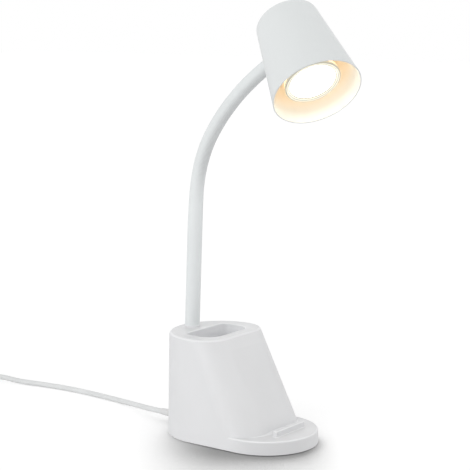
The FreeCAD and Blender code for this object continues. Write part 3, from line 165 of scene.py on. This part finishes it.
def noise_in(tree, place, scale, detail, roughness=0.5):
    """A noise pattern on the given coordinates."""
    pattern = tree.nodes.new("ShaderNodeTexNoise")
    pattern.inputs["Detail"].default_value = detail
    pattern.inputs["Roughness"].default_value = roughness
    tree.links.new(place, pattern.inputs["Vector"])
    if isinstance(scale, (int, float)):
        pattern.inputs["Scale"].default_value = scale
    else:
        tree.links.new(scale, pattern.inputs["Scale"])
    return pattern.outputs["Fac"]


def stretch(tree, value, low, high, to_low=0.0, to_high=1.0):
    """Spreads a value from one range to another, smoothly and held at its ends."""
    spread = tree.nodes.new("ShaderNodeMapRange")
    spread.interpolation_type = "SMOOTHSTEP"
    bounds = {"From Min": low, "From Max": high, "To Min": to_low, "To Max": to_high}
    for socket, bound in bounds.items():
        spread.inputs[socket].default_value = bound
    tree.links.new(value, spread.inputs["Value"])
    return spread.outputs["Result"]


def combine(tree, operation, first, second):
    """Two values, or a value and a number, put together by arithmetic."""
    made = tree.nodes.new("ShaderNodeMath")
    made.operation = operation
    tree.links.new(first, made.inputs[0])
    if isinstance(second, (int, float)):
        made.inputs[1].default_value = second
    else:
        tree.links.new(second, made.inputs[1])
    return made.outputs[0]


def moulded_surface():
    """Fine grain, slow drift of tone and uneven polish in a moulded or painted skin."""
    group, start, end = effect(
        "moulded_surface",
        [("Grain Scale", "value", 2400.0), ("Drift Scale", "value", 16.0)],
        [("Grain", "value"), ("Drift", "value"), ("Polish", "value")])
    place = group.nodes.new("ShaderNodeTexCoord").outputs["Object"]
    grain = noise_in(group, place, start.outputs["Grain Scale"], 2.0, 0.6)
    drift = stretch(group, noise_in(group, place, start.outputs["Drift Scale"], 3.0), 0.32, 0.68)
    polish = stretch(group, noise_in(group, place, POLISH_SCALE, 4.0, 0.65), 0.35, 0.75)
    group.links.new(grain, end.inputs["Grain"])
    group.links.new(drift, end.inputs["Drift"])
    group.links.new(polish, end.inputs["Polish"])
    return group


def settled_dust():
    """A faint, patchy film of dust and a few specks on what faces up."""
    group, start, end = effect(
        "settled_dust",
        [("Strength", "value", 0.5), ("Patch Scale", "value", 70.0)],
        [("Dust", "value")])
    faces = group.nodes.new("ShaderNodeNewGeometry")
    split = group.nodes.new("ShaderNodeSeparateXYZ")
    group.links.new(faces.outputs["Normal"], split.inputs["Vector"])
    upward = stretch(group, split.outputs["Z"], 0.55, 0.98)
    place = group.nodes.new("ShaderNodeTexCoord").outputs["Object"]
    patches = noise_in(group, place, start.outputs["Patch Scale"], 5.0, 0.6)
    patches = stretch(group, patches, 0.38, 0.72)
    specks = stretch(group, noise_in(group, place, SPECK_SCALE, 1.0), 0.68, 0.80)
    film = combine(group, "MULTIPLY", patches, upward)
    marks = combine(group, "MULTIPLY", specks, upward)
    both = combine(group, "MAXIMUM", film, marks)
    dust = combine(group, "MULTIPLY", both, start.outputs["Strength"])
    group.links.new(dust, end.inputs["Dust"])
    return group


def handled_edges():
    """Sharp ridges that wear lighter (Edge), and a painted highlight on rims rolled over to face
    up.
    """
    group, start, end = effect(
        "handled_edges",
        [("Strength", "value", 0.5)],
        [("Edge", "value"), ("Rim", "value")])
    rounded = group.nodes.new("ShaderNodeBevel")
    rounded.samples = 4
    rounded.inputs["Radius"].default_value = RIDGE_RADIUS
    faces = group.nodes.new("ShaderNodeNewGeometry")
    turned = group.nodes.new("ShaderNodeVectorMath")
    turned.operation = "DOT_PRODUCT"
    group.links.new(rounded.outputs["Normal"], turned.inputs[0])
    group.links.new(faces.outputs["Normal"], turned.inputs[1])
    ridge = stretch(group, turned.outputs["Value"], 0.995, 0.86)
    place = group.nodes.new("ShaderNodeTexCoord").outputs["Object"]
    broken = stretch(group, noise_in(group, place, WEAR_SCALE, 4.0, 0.6), 0.36, 0.62)
    worn = combine(group, "MULTIPLY", ridge, broken)
    worn = combine(group, "MULTIPLY", worn, start.outputs["Strength"])
    group.links.new(worn, end.inputs["Edge"])
    # Painted highlight: a mask on rims turning to face up, which the materials make lighter.
    split = group.nodes.new("ShaderNodeSeparateXYZ")
    group.links.new(faces.outputs["Normal"], split.inputs["Vector"])
    turning_up = stretch(group, split.outputs["Z"], 0.45, 0.60)
    not_yet_flat = stretch(group, split.outputs["Z"], 0.90, 0.985, 1.0, 0.0)
    group.links.new(combine(group, "MULTIPLY", turning_up, not_yet_flat), end.inputs["Rim"])
    return group


def turned_metal():
    """Fine tool lines across a turned or rolled metal part, and a few darker stains."""
    group, start, end = effect(
        "turned_metal",
        [("Line Scale", "value", 1500.0), ("Stain Scale", "value", 300.0),
         ("Direction", "vector", (1.0, 1.0, 8.0))],
        [("Lines", "value"), ("Stain", "value")])
    place = group.nodes.new("ShaderNodeTexCoord").outputs["Object"]
    drawn = group.nodes.new("ShaderNodeVectorMath")
    drawn.operation = "MULTIPLY"
    group.links.new(place, drawn.inputs[0])
    group.links.new(start.outputs["Direction"], drawn.inputs[1])
    lines = noise_in(group, drawn.outputs["Vector"], start.outputs["Line Scale"], 2.0, 0.6)
    stain = noise_in(group, place, start.outputs["Stain Scale"], 4.0, 0.6)
    stain = stretch(group, stain, 0.40, 0.75)
    group.links.new(lines, end.inputs["Lines"])
    group.links.new(stain, end.inputs["Stain"])
    return group


MOULDED, DUST = moulded_surface(), settled_dust()
EDGES, METAL = handled_edges(), turned_metal()


# ------------------------------------------------------------------ materials
def new_material(name, roughness, **uniform):
    """A material with a Principled shader whose even values sit on its own sockets."""
    made = bpy.data.materials.new(name)
    made.use_nodes = True
    shader = made.node_tree.nodes["Principled BSDF"]
    shader.inputs["Roughness"].default_value = roughness
    for label, value in uniform.items():
        shader.inputs[label.replace("_", " ")].default_value = value
    return made, made.node_tree, shader


def place_effect(tree, group, **values):
    """A shared effect placed in a material with that material's own values."""
    placed = tree.nodes.new("ShaderNodeGroup")
    placed.node_tree = group
    for label, value in values.items():
        placed.inputs[label.replace("_", " ")].default_value = value
    return placed.outputs


def tint(tree, mask, first, second):
    """A colour that goes from one to another with a mask."""
    mix = tree.nodes.new("ShaderNodeMix")
    mix.data_type = "RGBA"
    tree.links.new(mask, mix.inputs["Factor"])
    for socket, colour in zip((mix.inputs[6], mix.inputs[7]), (first, second)):
        if isinstance(colour, tuple):
            socket.default_value = (*colour, 1.0)
        else:
            tree.links.new(colour, socket)
    return mix.outputs[2]


def bumped(tree, shader, height, strength, distance):
    """Relief on the surface from a height pattern."""
    bump = tree.nodes.new("ShaderNodeBump")
    bump.inputs["Strength"].default_value = strength
    bump.inputs["Distance"].default_value = distance
    tree.links.new(height, bump.inputs["Height"])
    tree.links.new(bump.outputs["Normal"], shader.inputs["Normal"])


def box_mask(tree, centre, half, fades):
    """1 inside a box on the object's own axes, fading to 0 at its faces."""
    place = tree.nodes.new("ShaderNodeTexCoord").outputs["Object"]
    for operation in ("SUBTRACT", "ABSOLUTE"):
        step = tree.nodes.new("ShaderNodeVectorMath")
        step.operation = operation
        tree.links.new(place, step.inputs[0])
        if operation == "SUBTRACT":
            step.inputs[1].default_value = centre
        place = step.outputs["Vector"]
    split = tree.nodes.new("ShaderNodeSeparateXYZ")
    tree.links.new(place, split.inputs["Vector"])
    inside = None
    for axis, reach, fade in zip("XYZ", half, fades):
        within = stretch(tree, split.outputs[axis], reach - fade, reach + fade, 1.0, 0.0)
        inside = within if inside is None else combine(tree, "MULTIPLY", inside, within)
    return inside


def scaled_tone(tone, share):
    """A tone made darker or lighter, no brighter than white."""
    return tuple(min(1.0, share * part) for part in tone)


DUST_SHARES = (0.93, 0.92, 0.90)
RIM_HIGHLIGHT_SHARE = 1.14


def moulded_plastic(name, tone, deep, roughness, grain=0.25, dust=0.3, edge=0.35,
                    between_rims=None, patches=(), **uniform):
    """Injection-moulded plastic: tone drift, fine grain, dust on top and lighter worn edges.

    Rims turning up outside the box between_rims get a painted highlight. Each patch is a box and a
    share of the tone: painted light or painted shade."""
    made, tree, shader = new_material(name, roughness, **uniform)
    skin = place_effect(tree, MOULDED)
    dusty = place_effect(tree, DUST, Strength=dust)
    edge_wear_and_highlight = place_effect(tree, EDGES, Strength=edge)
    colour = tint(tree, skin["Drift"], tone, deep)
    dusted = tuple(part * share for part, share in zip(tone, DUST_SHARES))
    colour = tint(tree, edge_wear_and_highlight["Edge"], colour, scaled_tone(tone, 1.06))
    colour = tint(tree, dusty["Dust"], colour, dusted)
    # Painted highlight on rims that turn to face up, outside the box between_rims.
    if between_rims:
        outer = stretch(tree, box_mask(tree, *between_rims), 0.0, 1.0, 0.9, 0.0)
        painted_rim_highlight = combine(tree, "MULTIPLY", edge_wear_and_highlight["Rim"], outer)
        colour = tint(tree, painted_rim_highlight, colour, scaled_tone(tone, RIM_HIGHLIGHT_SHARE))
    # Each patch paints light or shade into the tone within its box.
    for box, share in patches:
        colour = tint(tree, box_mask(tree, *box), colour, scaled_tone(tone, share))
    tree.links.new(colour, shader.inputs["Base Color"])
    gloss = stretch(tree, skin["Polish"], 0.0, 1.0, roughness - 0.05, roughness + 0.07)
    tree.links.new(combine(tree, "ADD", gloss, combine(tree, "MULTIPLY", dusty["Dust"], 0.25)),
                   shader.inputs["Roughness"])
    bumped(tree, shader, skin["Grain"], grain, 0.00006)
    return made


# Boxes on the base: the middle, half the size, and half the fade at the faces.
# Painted light: the inside of the pen well is made lighter than the light falling into it would
# make it.
PEN_WELL_PAINTED_LIGHT = ((-0.029, 0.0, 0.0575), (0.0185, 0.0325, 0.038), (0.003, 0.003, 0.003))
# Painted shade: the tray's front wall is made darker below its rim.
TRAY_WALL_PAINTED_SHADE = ((0.075, -0.045, 0.005), (0.045, 0.040, 0.0072), (0.016, 0.030, 0.0008))
# Rims outside this box get a painted highlight.
BETWEEN_RIMS = ((0.0, 0.0, 0.0510), (0.0465, 0.080, 0.0350), (0.001, 0.001, 0.001))
BASE_PAINTED_LIGHT_AND_SHADE = ((PEN_WELL_PAINTED_LIGHT, 1.17), (TRAY_WALL_PAINTED_SHADE, 0.86))
base_plastic = moulded_plastic("base_plastic", (0.788, 0.792, 0.803), (0.765, 0.768, 0.778), 0.38,
                               between_rims=BETWEEN_RIMS, patches=BASE_PAINTED_LIGHT_AND_SHADE)
cover_plastic = moulded_plastic("cover_plastic", (0.62, 0.62, 0.62), (0.57, 0.57, 0.575), 0.62,
                                grain=0.6)
switch_plastic = moulded_plastic("switch_plastic", (0.78, 0.78, 0.785), (0.745, 0.745, 0.75), 0.36)
rocker_plastic = moulded_plastic("rocker_plastic", (0.74, 0.74, 0.745), (0.70, 0.70, 0.705), 0.28,
                                 edge=0.6)
plug_plastic = moulded_plastic("plug_plastic", (0.77, 0.77, 0.77), (0.72, 0.72, 0.725), 0.48,
                               grain=0.5)
bushing_rubber = moulded_plastic("bushing_rubber", (0.75, 0.75, 0.75), (0.70, 0.70, 0.70), 0.58,
                                 grain=0.5)
clear_nylon = moulded_plastic("clear_nylon", (0.80, 0.79, 0.76), (0.74, 0.73, 0.69), 0.33,
                              Subsurface_Weight=0.2, Subsurface_Scale=0.004)
holder_ceramic = moulded_plastic("holder_ceramic", (0.78, 0.76, 0.72), (0.70, 0.68, 0.63), 0.30,
                                 grain=0.35)


def enamelled(name, tone, deep, roughness):
    """Sprayed enamel on metal: a thin clear gloss over a faint orange-peel skin."""
    made, tree, shader = new_material(name, roughness, Coat_Weight=0.25, Coat_Roughness=0.18)
    skin = place_effect(tree, MOULDED, Grain_Scale=420.0, Drift_Scale=11.0)
    dusty = place_effect(tree, DUST, Strength=0.25, Patch_Scale=55.0)
    edge_wear_and_highlight = place_effect(tree, EDGES, Strength=0.3)
    colour = tint(tree, skin["Drift"], tone, deep)
    colour = tint(tree, edge_wear_and_highlight["Edge"], colour, scaled_tone(tone, 1.05))
    colour = tint(tree, dusty["Dust"], colour, scaled_tone(tone, 0.92))
    tree.links.new(colour, shader.inputs["Base Color"])
    tree.links.new(stretch(tree, skin["Polish"], 0.0, 1.0, roughness - 0.04, roughness + 0.06),
                   shader.inputs["Roughness"])
    bumped(tree, shader, skin["Grain"], 0.18, 0.00010)
    return made


shade_enamel = enamelled("shade_enamel", (0.775, 0.800, 0.800), (0.755, 0.780, 0.782), 0.42)
collar_enamel = enamelled("collar_metal", (0.775, 0.795, 0.795), (0.74, 0.76, 0.76), 0.40)


def ribbed_sleeve():
    """The soft sleeve over the coiled core: satin, with painted shade in the grooves between its
    ribs, darkest on the inside of the bend.
    """
    made, tree, shader = new_material("neck_sleeve", 0.44, Sheen_Weight=0.08, Sheen_Roughness=0.5)
    skin = place_effect(tree, MOULDED, Grain_Scale=3000.0, Drift_Scale=24.0)
    dusty = place_effect(tree, DUST, Strength=0.3, Patch_Scale=90.0)
    groove = tree.nodes.new("ShaderNodeAttribute")
    groove.attribute_name = "groove"
    colour = tint(tree, skin["Drift"], (0.818, 0.845, 0.848), (0.798, 0.825, 0.830))
    # Painted shade: darker in the grooves, most on the inside of the bend.
    colour = tint(tree, groove.outputs["Fac"], colour, (0.50, 0.51, 0.515))
    colour = tint(tree, dusty["Dust"], colour, (0.72, 0.735, 0.73))
    tree.links.new(colour, shader.inputs["Base Color"])
    tree.links.new(stretch(tree, skin["Polish"], 0.0, 1.0, 0.40, 0.52), shader.inputs["Roughness"])
    bumped(tree, shader, skin["Grain"], 0.22, 0.00005)
    return made


neck_sleeve_skin = ribbed_sleeve()


def plain_metal(name, tone, stain, roughness, lines):
    """Plated or bare metal with tool lines and faint stains."""
    made, tree, shader = new_material(name, roughness, Metallic=1.0)
    worked = place_effect(tree, METAL, Line_Scale=lines)
    edge_wear_and_highlight = place_effect(tree, EDGES, Strength=0.6)
    colour = tint(tree, worked["Stain"], tone, stain)
    colour = tint(tree, edge_wear_and_highlight["Edge"], colour, scaled_tone(tone, 1.25))
    tree.links.new(colour, shader.inputs["Base Color"])
    tree.links.new(stretch(tree, worked["Lines"], 0.2, 0.8, roughness - 0.06, roughness + 0.10),
                   shader.inputs["Roughness"])
    bumped(tree, shader, worked["Lines"], 0.25, 0.00004)
    return made


plated_steel = plain_metal("plated_steel", (0.62, 0.62, 0.63), (0.50, 0.50, 0.49), 0.30, 900.0)
screw_steel = plain_metal("screw_steel", (0.58, 0.57, 0.55), (0.42, 0.41, 0.39), 0.34, 1400.0)
neck_coil = plain_metal("neck_coil", (0.52, 0.53, 0.54), (0.36, 0.36, 0.36), 0.38, 1600.0)
pin_brass = plain_metal("pin_brass", (0.66, 0.62, 0.54), (0.50, 0.45, 0.36), 0.26, 1800.0)


def closed_foam():
    """Closed-cell foam: fine cells in a dark, dull sheet."""
    made, tree, shader = new_material("pad_foam", 0.9)
    place = tree.nodes.new("ShaderNodeTexCoord").outputs["Object"]
    cells = tree.nodes.new("ShaderNodeTexVoronoi")
    cells.inputs["Scale"].default_value = FOAM_SCALE
    tree.links.new(place, cells.inputs["Vector"])
    pits = stretch(tree, cells.outputs["Distance"], 0.05, 0.45)
    skin = place_effect(tree, MOULDED, Drift_Scale=30.0)
    colour = tint(tree, pits, (0.012, 0.012, 0.013), (0.045, 0.045, 0.048))
    colour = tint(tree, skin["Drift"], colour, (0.035, 0.034, 0.034))
    tree.links.new(colour, shader.inputs["Base Color"])
    bumped(tree, shader, pits, 0.7, 0.0002)
    return made


pad_foam = closed_foam()


def jacket(name, tone, deep, roughness, dust):
    """A soft extruded jacket: fine grain, drift of tone and dust on top."""
    made, tree, shader = new_material(name, roughness)
    skin = place_effect(tree, MOULDED, Grain_Scale=1700.0, Drift_Scale=30.0)
    dusty = place_effect(tree, DUST, Strength=dust, Patch_Scale=160.0)
    colour = tint(tree, skin["Drift"], tone, deep)
    colour = tint(tree, dusty["Dust"], colour, scaled_tone(tone, 0.9))
    tree.links.new(colour, shader.inputs["Base Color"])
    tree.links.new(stretch(tree, skin["Polish"], 0.0, 1.0, roughness - 0.06, roughness + 0.08),
                   shader.inputs["Roughness"])
    bumped(tree, shader, skin["Grain"], 0.3, 0.00008)
    return made


cord_jacket = jacket("cord_jacket", (0.79, 0.80, 0.80), (0.75, 0.76, 0.76), 0.44, 0.3)
wire_jacket = jacket("wire_jacket", (0.20, 0.13, 0.09), (0.15, 0.10, 0.07), 0.40, 0.1)


BULB_AT = (0.09367, -0.01985, 0.32370)
BULB_AXIS = (-0.6263, 0.3485, 0.6974)


def from_bulb_axis(tree):
    """Distance from the bulb's own axis, in metres."""
    place = tree.nodes.new("ShaderNodeTexCoord").outputs["Object"]
    for operation, constant in (("SUBTRACT", BULB_AT), ("CROSS_PRODUCT", BULB_AXIS)):
        step = tree.nodes.new("ShaderNodeVectorMath")
        step.operation = operation
        tree.links.new(place, step.inputs[0])
        step.inputs[1].default_value = constant
        place = step.outputs["Vector"]
    length = tree.nodes.new("ShaderNodeVectorMath")
    length.operation = "LENGTH"
    tree.links.new(place, length.inputs[0])
    return length.outputs["Value"]


def glowing(name, tone, light, strength, roughness, rings=(), cast=None):
    """A lit, dimpled plastic with darker rings at given radii about the bulb's axis.

    Cast, where given, is the strength of its light on other things."""
    made, tree, shader = new_material(name, roughness, Emission_Strength=strength)
    if cast:
        seen = tree.nodes.new("ShaderNodeLightPath").outputs["Is Camera Ray"]
        tree.links.new(stretch(tree, seen, 0.0, 1.0, cast, strength),
                       shader.inputs["Emission Strength"])
    place = tree.nodes.new("ShaderNodeTexCoord").outputs["Object"]
    dimples = tree.nodes.new("ShaderNodeTexVoronoi")
    dimples.inputs["Scale"].default_value = DIMPLE_SCALE
    tree.links.new(place, dimples.inputs["Vector"])
    cells = stretch(tree, dimples.outputs["Distance"], 0.1, 0.7)
    glow = tint(tree, cells, light, scaled_tone(light, 0.97))
    colour = tint(tree, cells, tone, scaled_tone(tone, 0.96))
    radius = from_bulb_axis(tree)
    for middle, width, share in rings:
        inside = stretch(tree, radius, middle - width, middle - width / 3)
        outside = stretch(tree, radius, middle + width / 3, middle + width, 1.0, 0.0)
        ring = combine(tree, "MULTIPLY", inside, outside)
        glow = tint(tree, ring, glow, scaled_tone(light, share))
        colour = tint(tree, ring, colour, scaled_tone(tone, share))
    tree.links.new(colour, shader.inputs["Base Color"])
    tree.links.new(glow, shader.inputs["Emission Color"])
    bumped(tree, shader, dimples.outputs["Distance"], 0.2, 0.0002)
    return made


bulb_diffuser = glowing("bulb_diffuser", (0.90, 0.88, 0.84), (1.0, 0.90, 0.74), 4.0, 0.30)
# Each ring: the middle radius, half the width, and its share of the tone.
BEZEL_RINGS = ((0.0208, 0.0006, 0.45), (0.0225, 0.0006, 0.55), (0.0246, 0.0007, 0.45))
bulb_ring = glowing("bulb_ring", (0.60, 0.58, 0.54), (0.54, 0.52, 0.40), 1.0, 0.24,
                    BEZEL_RINGS, cast=11.0)
bulb_shell = glowing("bulb_shell", (0.78, 0.775, 0.76), (1.0, 0.60, 0.27), 1.2, 0.34)
bulb_board_white = moulded_plastic("bulb_board_white", (0.82, 0.82, 0.80), (0.78, 0.78, 0.76), 0.4,
                                   dust=0.1)

SLOT_MATERIALS = {
    "base_plastic": base_plastic, "cover_plastic": cover_plastic, "pad_foam": pad_foam,
    "plated_steel": plated_steel, "screw_steel": screw_steel, "cord_jacket": cord_jacket,
    "wire_jacket": wire_jacket, "bushing_rubber": bushing_rubber, "clear_nylon": clear_nylon,
    "shade_enamel": shade_enamel, "collar_metal": collar_enamel, "bulb_shell": bulb_shell,
    "bulb_ring": bulb_ring, "bulb_diffuser": bulb_diffuser, "bulb_board_white": bulb_board_white,
    "pin_brass": pin_brass, "holder_ceramic": holder_ceramic, "neck_sleeve": neck_sleeve_skin,
    "neck_coil": neck_coil, "rocker_plastic": rocker_plastic, "switch_plastic": switch_plastic,
    "plug_plastic": plug_plastic,
}
for node in nodes.values():
    for place in node.material_slots:
        found = next((s for s in SLOT_MATERIALS if place.material.name.startswith(s)), None)
        if found is None:
            raise ValueError(f"{node.name} has a finish with no material: {place.material.name}")
        place.material = SLOT_MATERIALS[found]


def finish_piece(piece, material):
    """Gives a new piece its material."""
    piece.data.materials.clear()
    piece.data.materials.append(material)
    return piece


for piece in (lead_to_switch, lead_to_plug):
    finish_piece(piece, cord_jacket)
    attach(piece, "root")

# ------------------------------------------------------------------ neck sleeve
NECK_FOOT = Vector((-0.0589, 0.0, 0.0975))
RADIUS_LOW, RADIUS_HIGH = 0.0070, 0.0065
NARROWS_FROM, NARROWS_TO = 0.090, 0.150
SPAN = 0.2775 / 9
LEANS = (2.3, 2.3, 2.3, 2.3, 4.2, 16.1, 31.6, 41.2, 49.1, 56.5)
RINGS_A_SPAN = 50
SIDES = 40
SLEEVE_WALL = 0.0014
RIB_HEIGHT = 0.00016
RIBS_START, RIBS_FULL = 0.115, 0.165
# Shares of painted shade: in every groove, and in grooves and on ribs on the inside of the bend.
EVEN_GROOVE_SHADE, BEND_INSIDE_GROOVE_SHADE, BEND_INSIDE_RIB_SHADE = 0.1, 0.9, 0.1


def neck_line():
    """Centres and leans of the rings along the neck: each span is one arc."""
    spots, at = [], NECK_FOOT.copy()
    for low, high in zip(LEANS, LEANS[1:]):
        step = SPAN / RINGS_A_SPAN
        for ring in range(RINGS_A_SPAN):
            lean = math.radians(low + (high - low) * ring / RINGS_A_SPAN)
            spots.append((at.copy(), lean))
            middle = lean + math.radians(high - low) / RINGS_A_SPAN / 2
            at += step * Vector((math.sin(middle), 0, math.cos(middle)))
    spots.append((at.copy(), math.radians(LEANS[-1])))
    return spots


NECK = neck_line()


def smooth_step(value, low, high):
    """0 below low and 1 above high, with a smooth rise between."""
    share = min(1.0, max(0.0, (value - low) / (high - low)))
    return share * share * (3 - 2 * share)


def sleeve_length(number, first, last):
    """One length of the sleeve from ring to ring: a circle drawn out and leaned at each step.

    Every second ring stands out as a rib; the grooves, and the ribs on the inside of the bend, are
    marked for painted shade."""
    centre, lean = NECK[first]
    bpy.ops.object.select_all(action="DESELECT")
    bpy.ops.mesh.primitive_circle_add(vertices=SIDES, radius=RADIUS_LOW, location=centre,
                                      rotation=(0, lean, 0))
    made = bpy.context.object
    made.name = f"sleeve_length_{number}"
    bpy.ops.object.transform_apply(location=True, rotation=True, scale=True)
    bpy.ops.object.mode_set(mode="EDIT")
    bpy.ops.mesh.select_all(action="SELECT")
    for (centre, lean), (after, lean_after) in zip(NECK[first:last], NECK[first + 1:last + 1]):
        bpy.ops.mesh.extrude_region_move(TRANSFORM_OT_translate={"value": after - centre})
        if abs(lean_after - lean) > 1e-9:
            turn = Matrix.Rotation(lean_after - lean, 4, "Y")
            turn = Matrix.Translation(after) @ turn @ Matrix.Translation(-after)
            mesh = bmesh.from_edit_mesh(made.data)
            bmesh.ops.transform(mesh, matrix=turn, verts=[v for v in mesh.verts if v.select])
            bmesh.update_edit_mesh(made.data)
    bpy.ops.mesh.select_all(action="SELECT")
    bpy.ops.mesh.normals_make_consistent(inside=False)
    bpy.ops.object.mode_set(mode="OBJECT")
    groove = made.data.attributes.new("groove", "FLOAT", "POINT")
    for vertex in made.data.vertices:
        ring = first + vertex.index // SIDES
        along = ring * SPAN / RINGS_A_SPAN
        ribbed = smooth_step(along, RIBS_START, RIBS_FULL)
        narrowed = smooth_step(along, NARROWS_FROM, NARROWS_TO)
        radius = RADIUS_LOW + (RADIUS_HIGH - RADIUS_LOW) * narrowed
        centre, lean = NECK[ring]
        out = (vertex.co - centre).normalized()
        if ring % 2 == 0:
            radius += RIB_HEIGHT * ribbed
        vertex.co = centre + out * radius
        inward = out.dot(Vector((math.cos(lean), 0, -math.sin(lean))))
        # Painted shade, strongest where the surface faces the inside of the bend.
        bend_inside = smooth_step(inward, 0.1, 1.0) * ribbed
        painted_groove_tone = EVEN_GROOVE_SHADE * ribbed + BEND_INSIDE_GROOVE_SHADE * bend_inside
        groove.data[vertex.index].value = painted_groove_tone if ring % 2 else BEND_INSIDE_RIB_SHADE * bend_inside
    wall = made.modifiers.new("wall", "SOLIDIFY")
    wall.thickness = SLEEVE_WALL
    wall.offset = -1.0
    wall.use_even_offset = True
    bpy.ops.object.modifier_apply(modifier="wall")
    bpy.ops.object.shade_smooth_by_angle(angle=math.radians(40))
    return made


for number in range(1, 9):
    bend = number * RINGS_A_SPAN
    first = 0 if number == 1 else bend - RINGS_A_SPAN // 2
    last = len(NECK) - 1 if number == 8 else bend + RINGS_A_SPAN // 2
    sleeve = sleeve_length(number, first, last)
    finish_piece(sleeve, neck_sleeve_skin)
    covered = [f"neck_sleeve_{number}"] + (["neck_sleeve_9"] if number == 8 else [])
    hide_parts(*covered)
    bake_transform(sleeve)

# ------------------------------------------------------------------ floor and light
FLOOR_SIZE = 14.0
# The floor's tone for bounced light, for the camera, and in the painted shadow by the object.
FLOOR_TONE, FLOOR_TONE_SEEN, FLOOR_TONE_SHADED = 0.95, 0.50, 0.40
FLOOR_GLOW = 0.61
SHADE_REACH = 0.30
SHADE_FROM = (-0.60, 0.64, 0.47)
# The floor's painted shadow fades out both ways along one line: from where to where, and how much
# is left.
SIDEWAYS = (0.804, 0.594, 0.0)
SHADE_SIDES = ((-0.115, -0.020, 0.0, 1.0), (0.052, 0.102, 1.0, 0.0))
SKY_STRENGTH = 0.62


def grey(level):
    """An even grey."""
    return (level, level, level)


bpy.ops.mesh.primitive_plane_add(size=FLOOR_SIZE, location=(0, 0, 0))
floor = bpy.context.object
floor.name = "studio_floor"
paper, tree, shader = new_material("studio_paper", 0.9)
shader.inputs["Specular IOR Level"].default_value = 0.0
seen = tree.nodes.new("ShaderNodeLightPath").outputs["Is Camera Ray"]
# Painted shadow: an occlusion test darkens the floor's colour for the camera only.
nearby = tree.nodes.new("ShaderNodeAmbientOcclusion")
nearby.samples = 16
nearby.inputs["Distance"].default_value = SHADE_REACH
faced = tree.nodes.new("ShaderNodeCombineXYZ")
for socket, part in zip(faced.inputs, SHADE_FROM):
    socket.default_value = part
tree.links.new(faced.outputs["Vector"], nearby.inputs["Normal"])
painted_floor_shadow = stretch(tree, nearby.outputs["AO"], 0.55, 1.0, 1.0, 0.0)
painted_floor_shadow = combine(tree, "MULTIPLY", painted_floor_shadow, seen)
across = tree.nodes.new("ShaderNodeVectorMath")
across.operation = "DOT_PRODUCT"
across.inputs[1].default_value = SIDEWAYS
tree.links.new(tree.nodes.new("ShaderNodeTexCoord").outputs["Object"], across.inputs[0])
for limits in SHADE_SIDES:
    side = stretch(tree, across.outputs["Value"], *limits)
    painted_floor_shadow = combine(tree, "MULTIPLY", painted_floor_shadow, side)
lit = tint(tree, seen, grey(FLOOR_TONE), grey(FLOOR_TONE_SEEN))
colour = tint(tree, painted_floor_shadow, lit, grey(FLOOR_TONE_SHADED))
tree.links.new(colour, shader.inputs["Base Color"])
glow = tint(tree, painted_floor_shadow, grey(1.0), grey(0.0))
tree.links.new(glow, shader.inputs["Emission Color"])
tree.links.new(combine(tree, "MULTIPLY", seen, FLOOR_GLOW), shader.inputs["Emission Strength"])
floor.data.materials.append(paper)

world = bpy.data.worlds.new("studio")
bpy.context.scene.world = world
world.use_nodes = True
sky = world.node_tree
background = sky.nodes["Background"]
background.inputs["Color"].default_value = (*grey(1.0), 1.0)
path = sky.nodes.new("ShaderNodeLightPath")
seen = combine(sky, "MAXIMUM", path.outputs["Is Camera Ray"], path.outputs["Is Glossy Ray"])
seen = combine(sky, "MAXIMUM", seen, path.outputs["Is Transmission Ray"])
sky.links.new(stretch(sky, seen, 0.0, 1.0, SKY_STRENGTH, 1.0), background.inputs["Strength"])


def soft_lamp(name, toward, strength, spread):
    """A wide, even lamp that shines along one direction."""
    bpy.ops.object.light_add(type="SUN", location=(0, 0, 1))
    lamp = bpy.context.object
    lamp.name = name
    lamp.data.energy = strength
    lamp.data.angle = math.radians(spread)
    lamp.rotation_mode = "QUATERNION"
    lamp.rotation_quaternion = Vector(toward).to_track_quat("-Z", "Y")


soft_lamp("lamp_left", (0.136, 0.896, -0.423), 0.95, 60.0)
soft_lamp("lamp_right", (-0.801, -0.490, -0.342), 0.46, 60.0)
soft_lamp("lamp_behind", (0.420, -0.569, -0.707), 0.20, 50.0)

bpy.context.scene.view_settings.view_transform = "Standard"
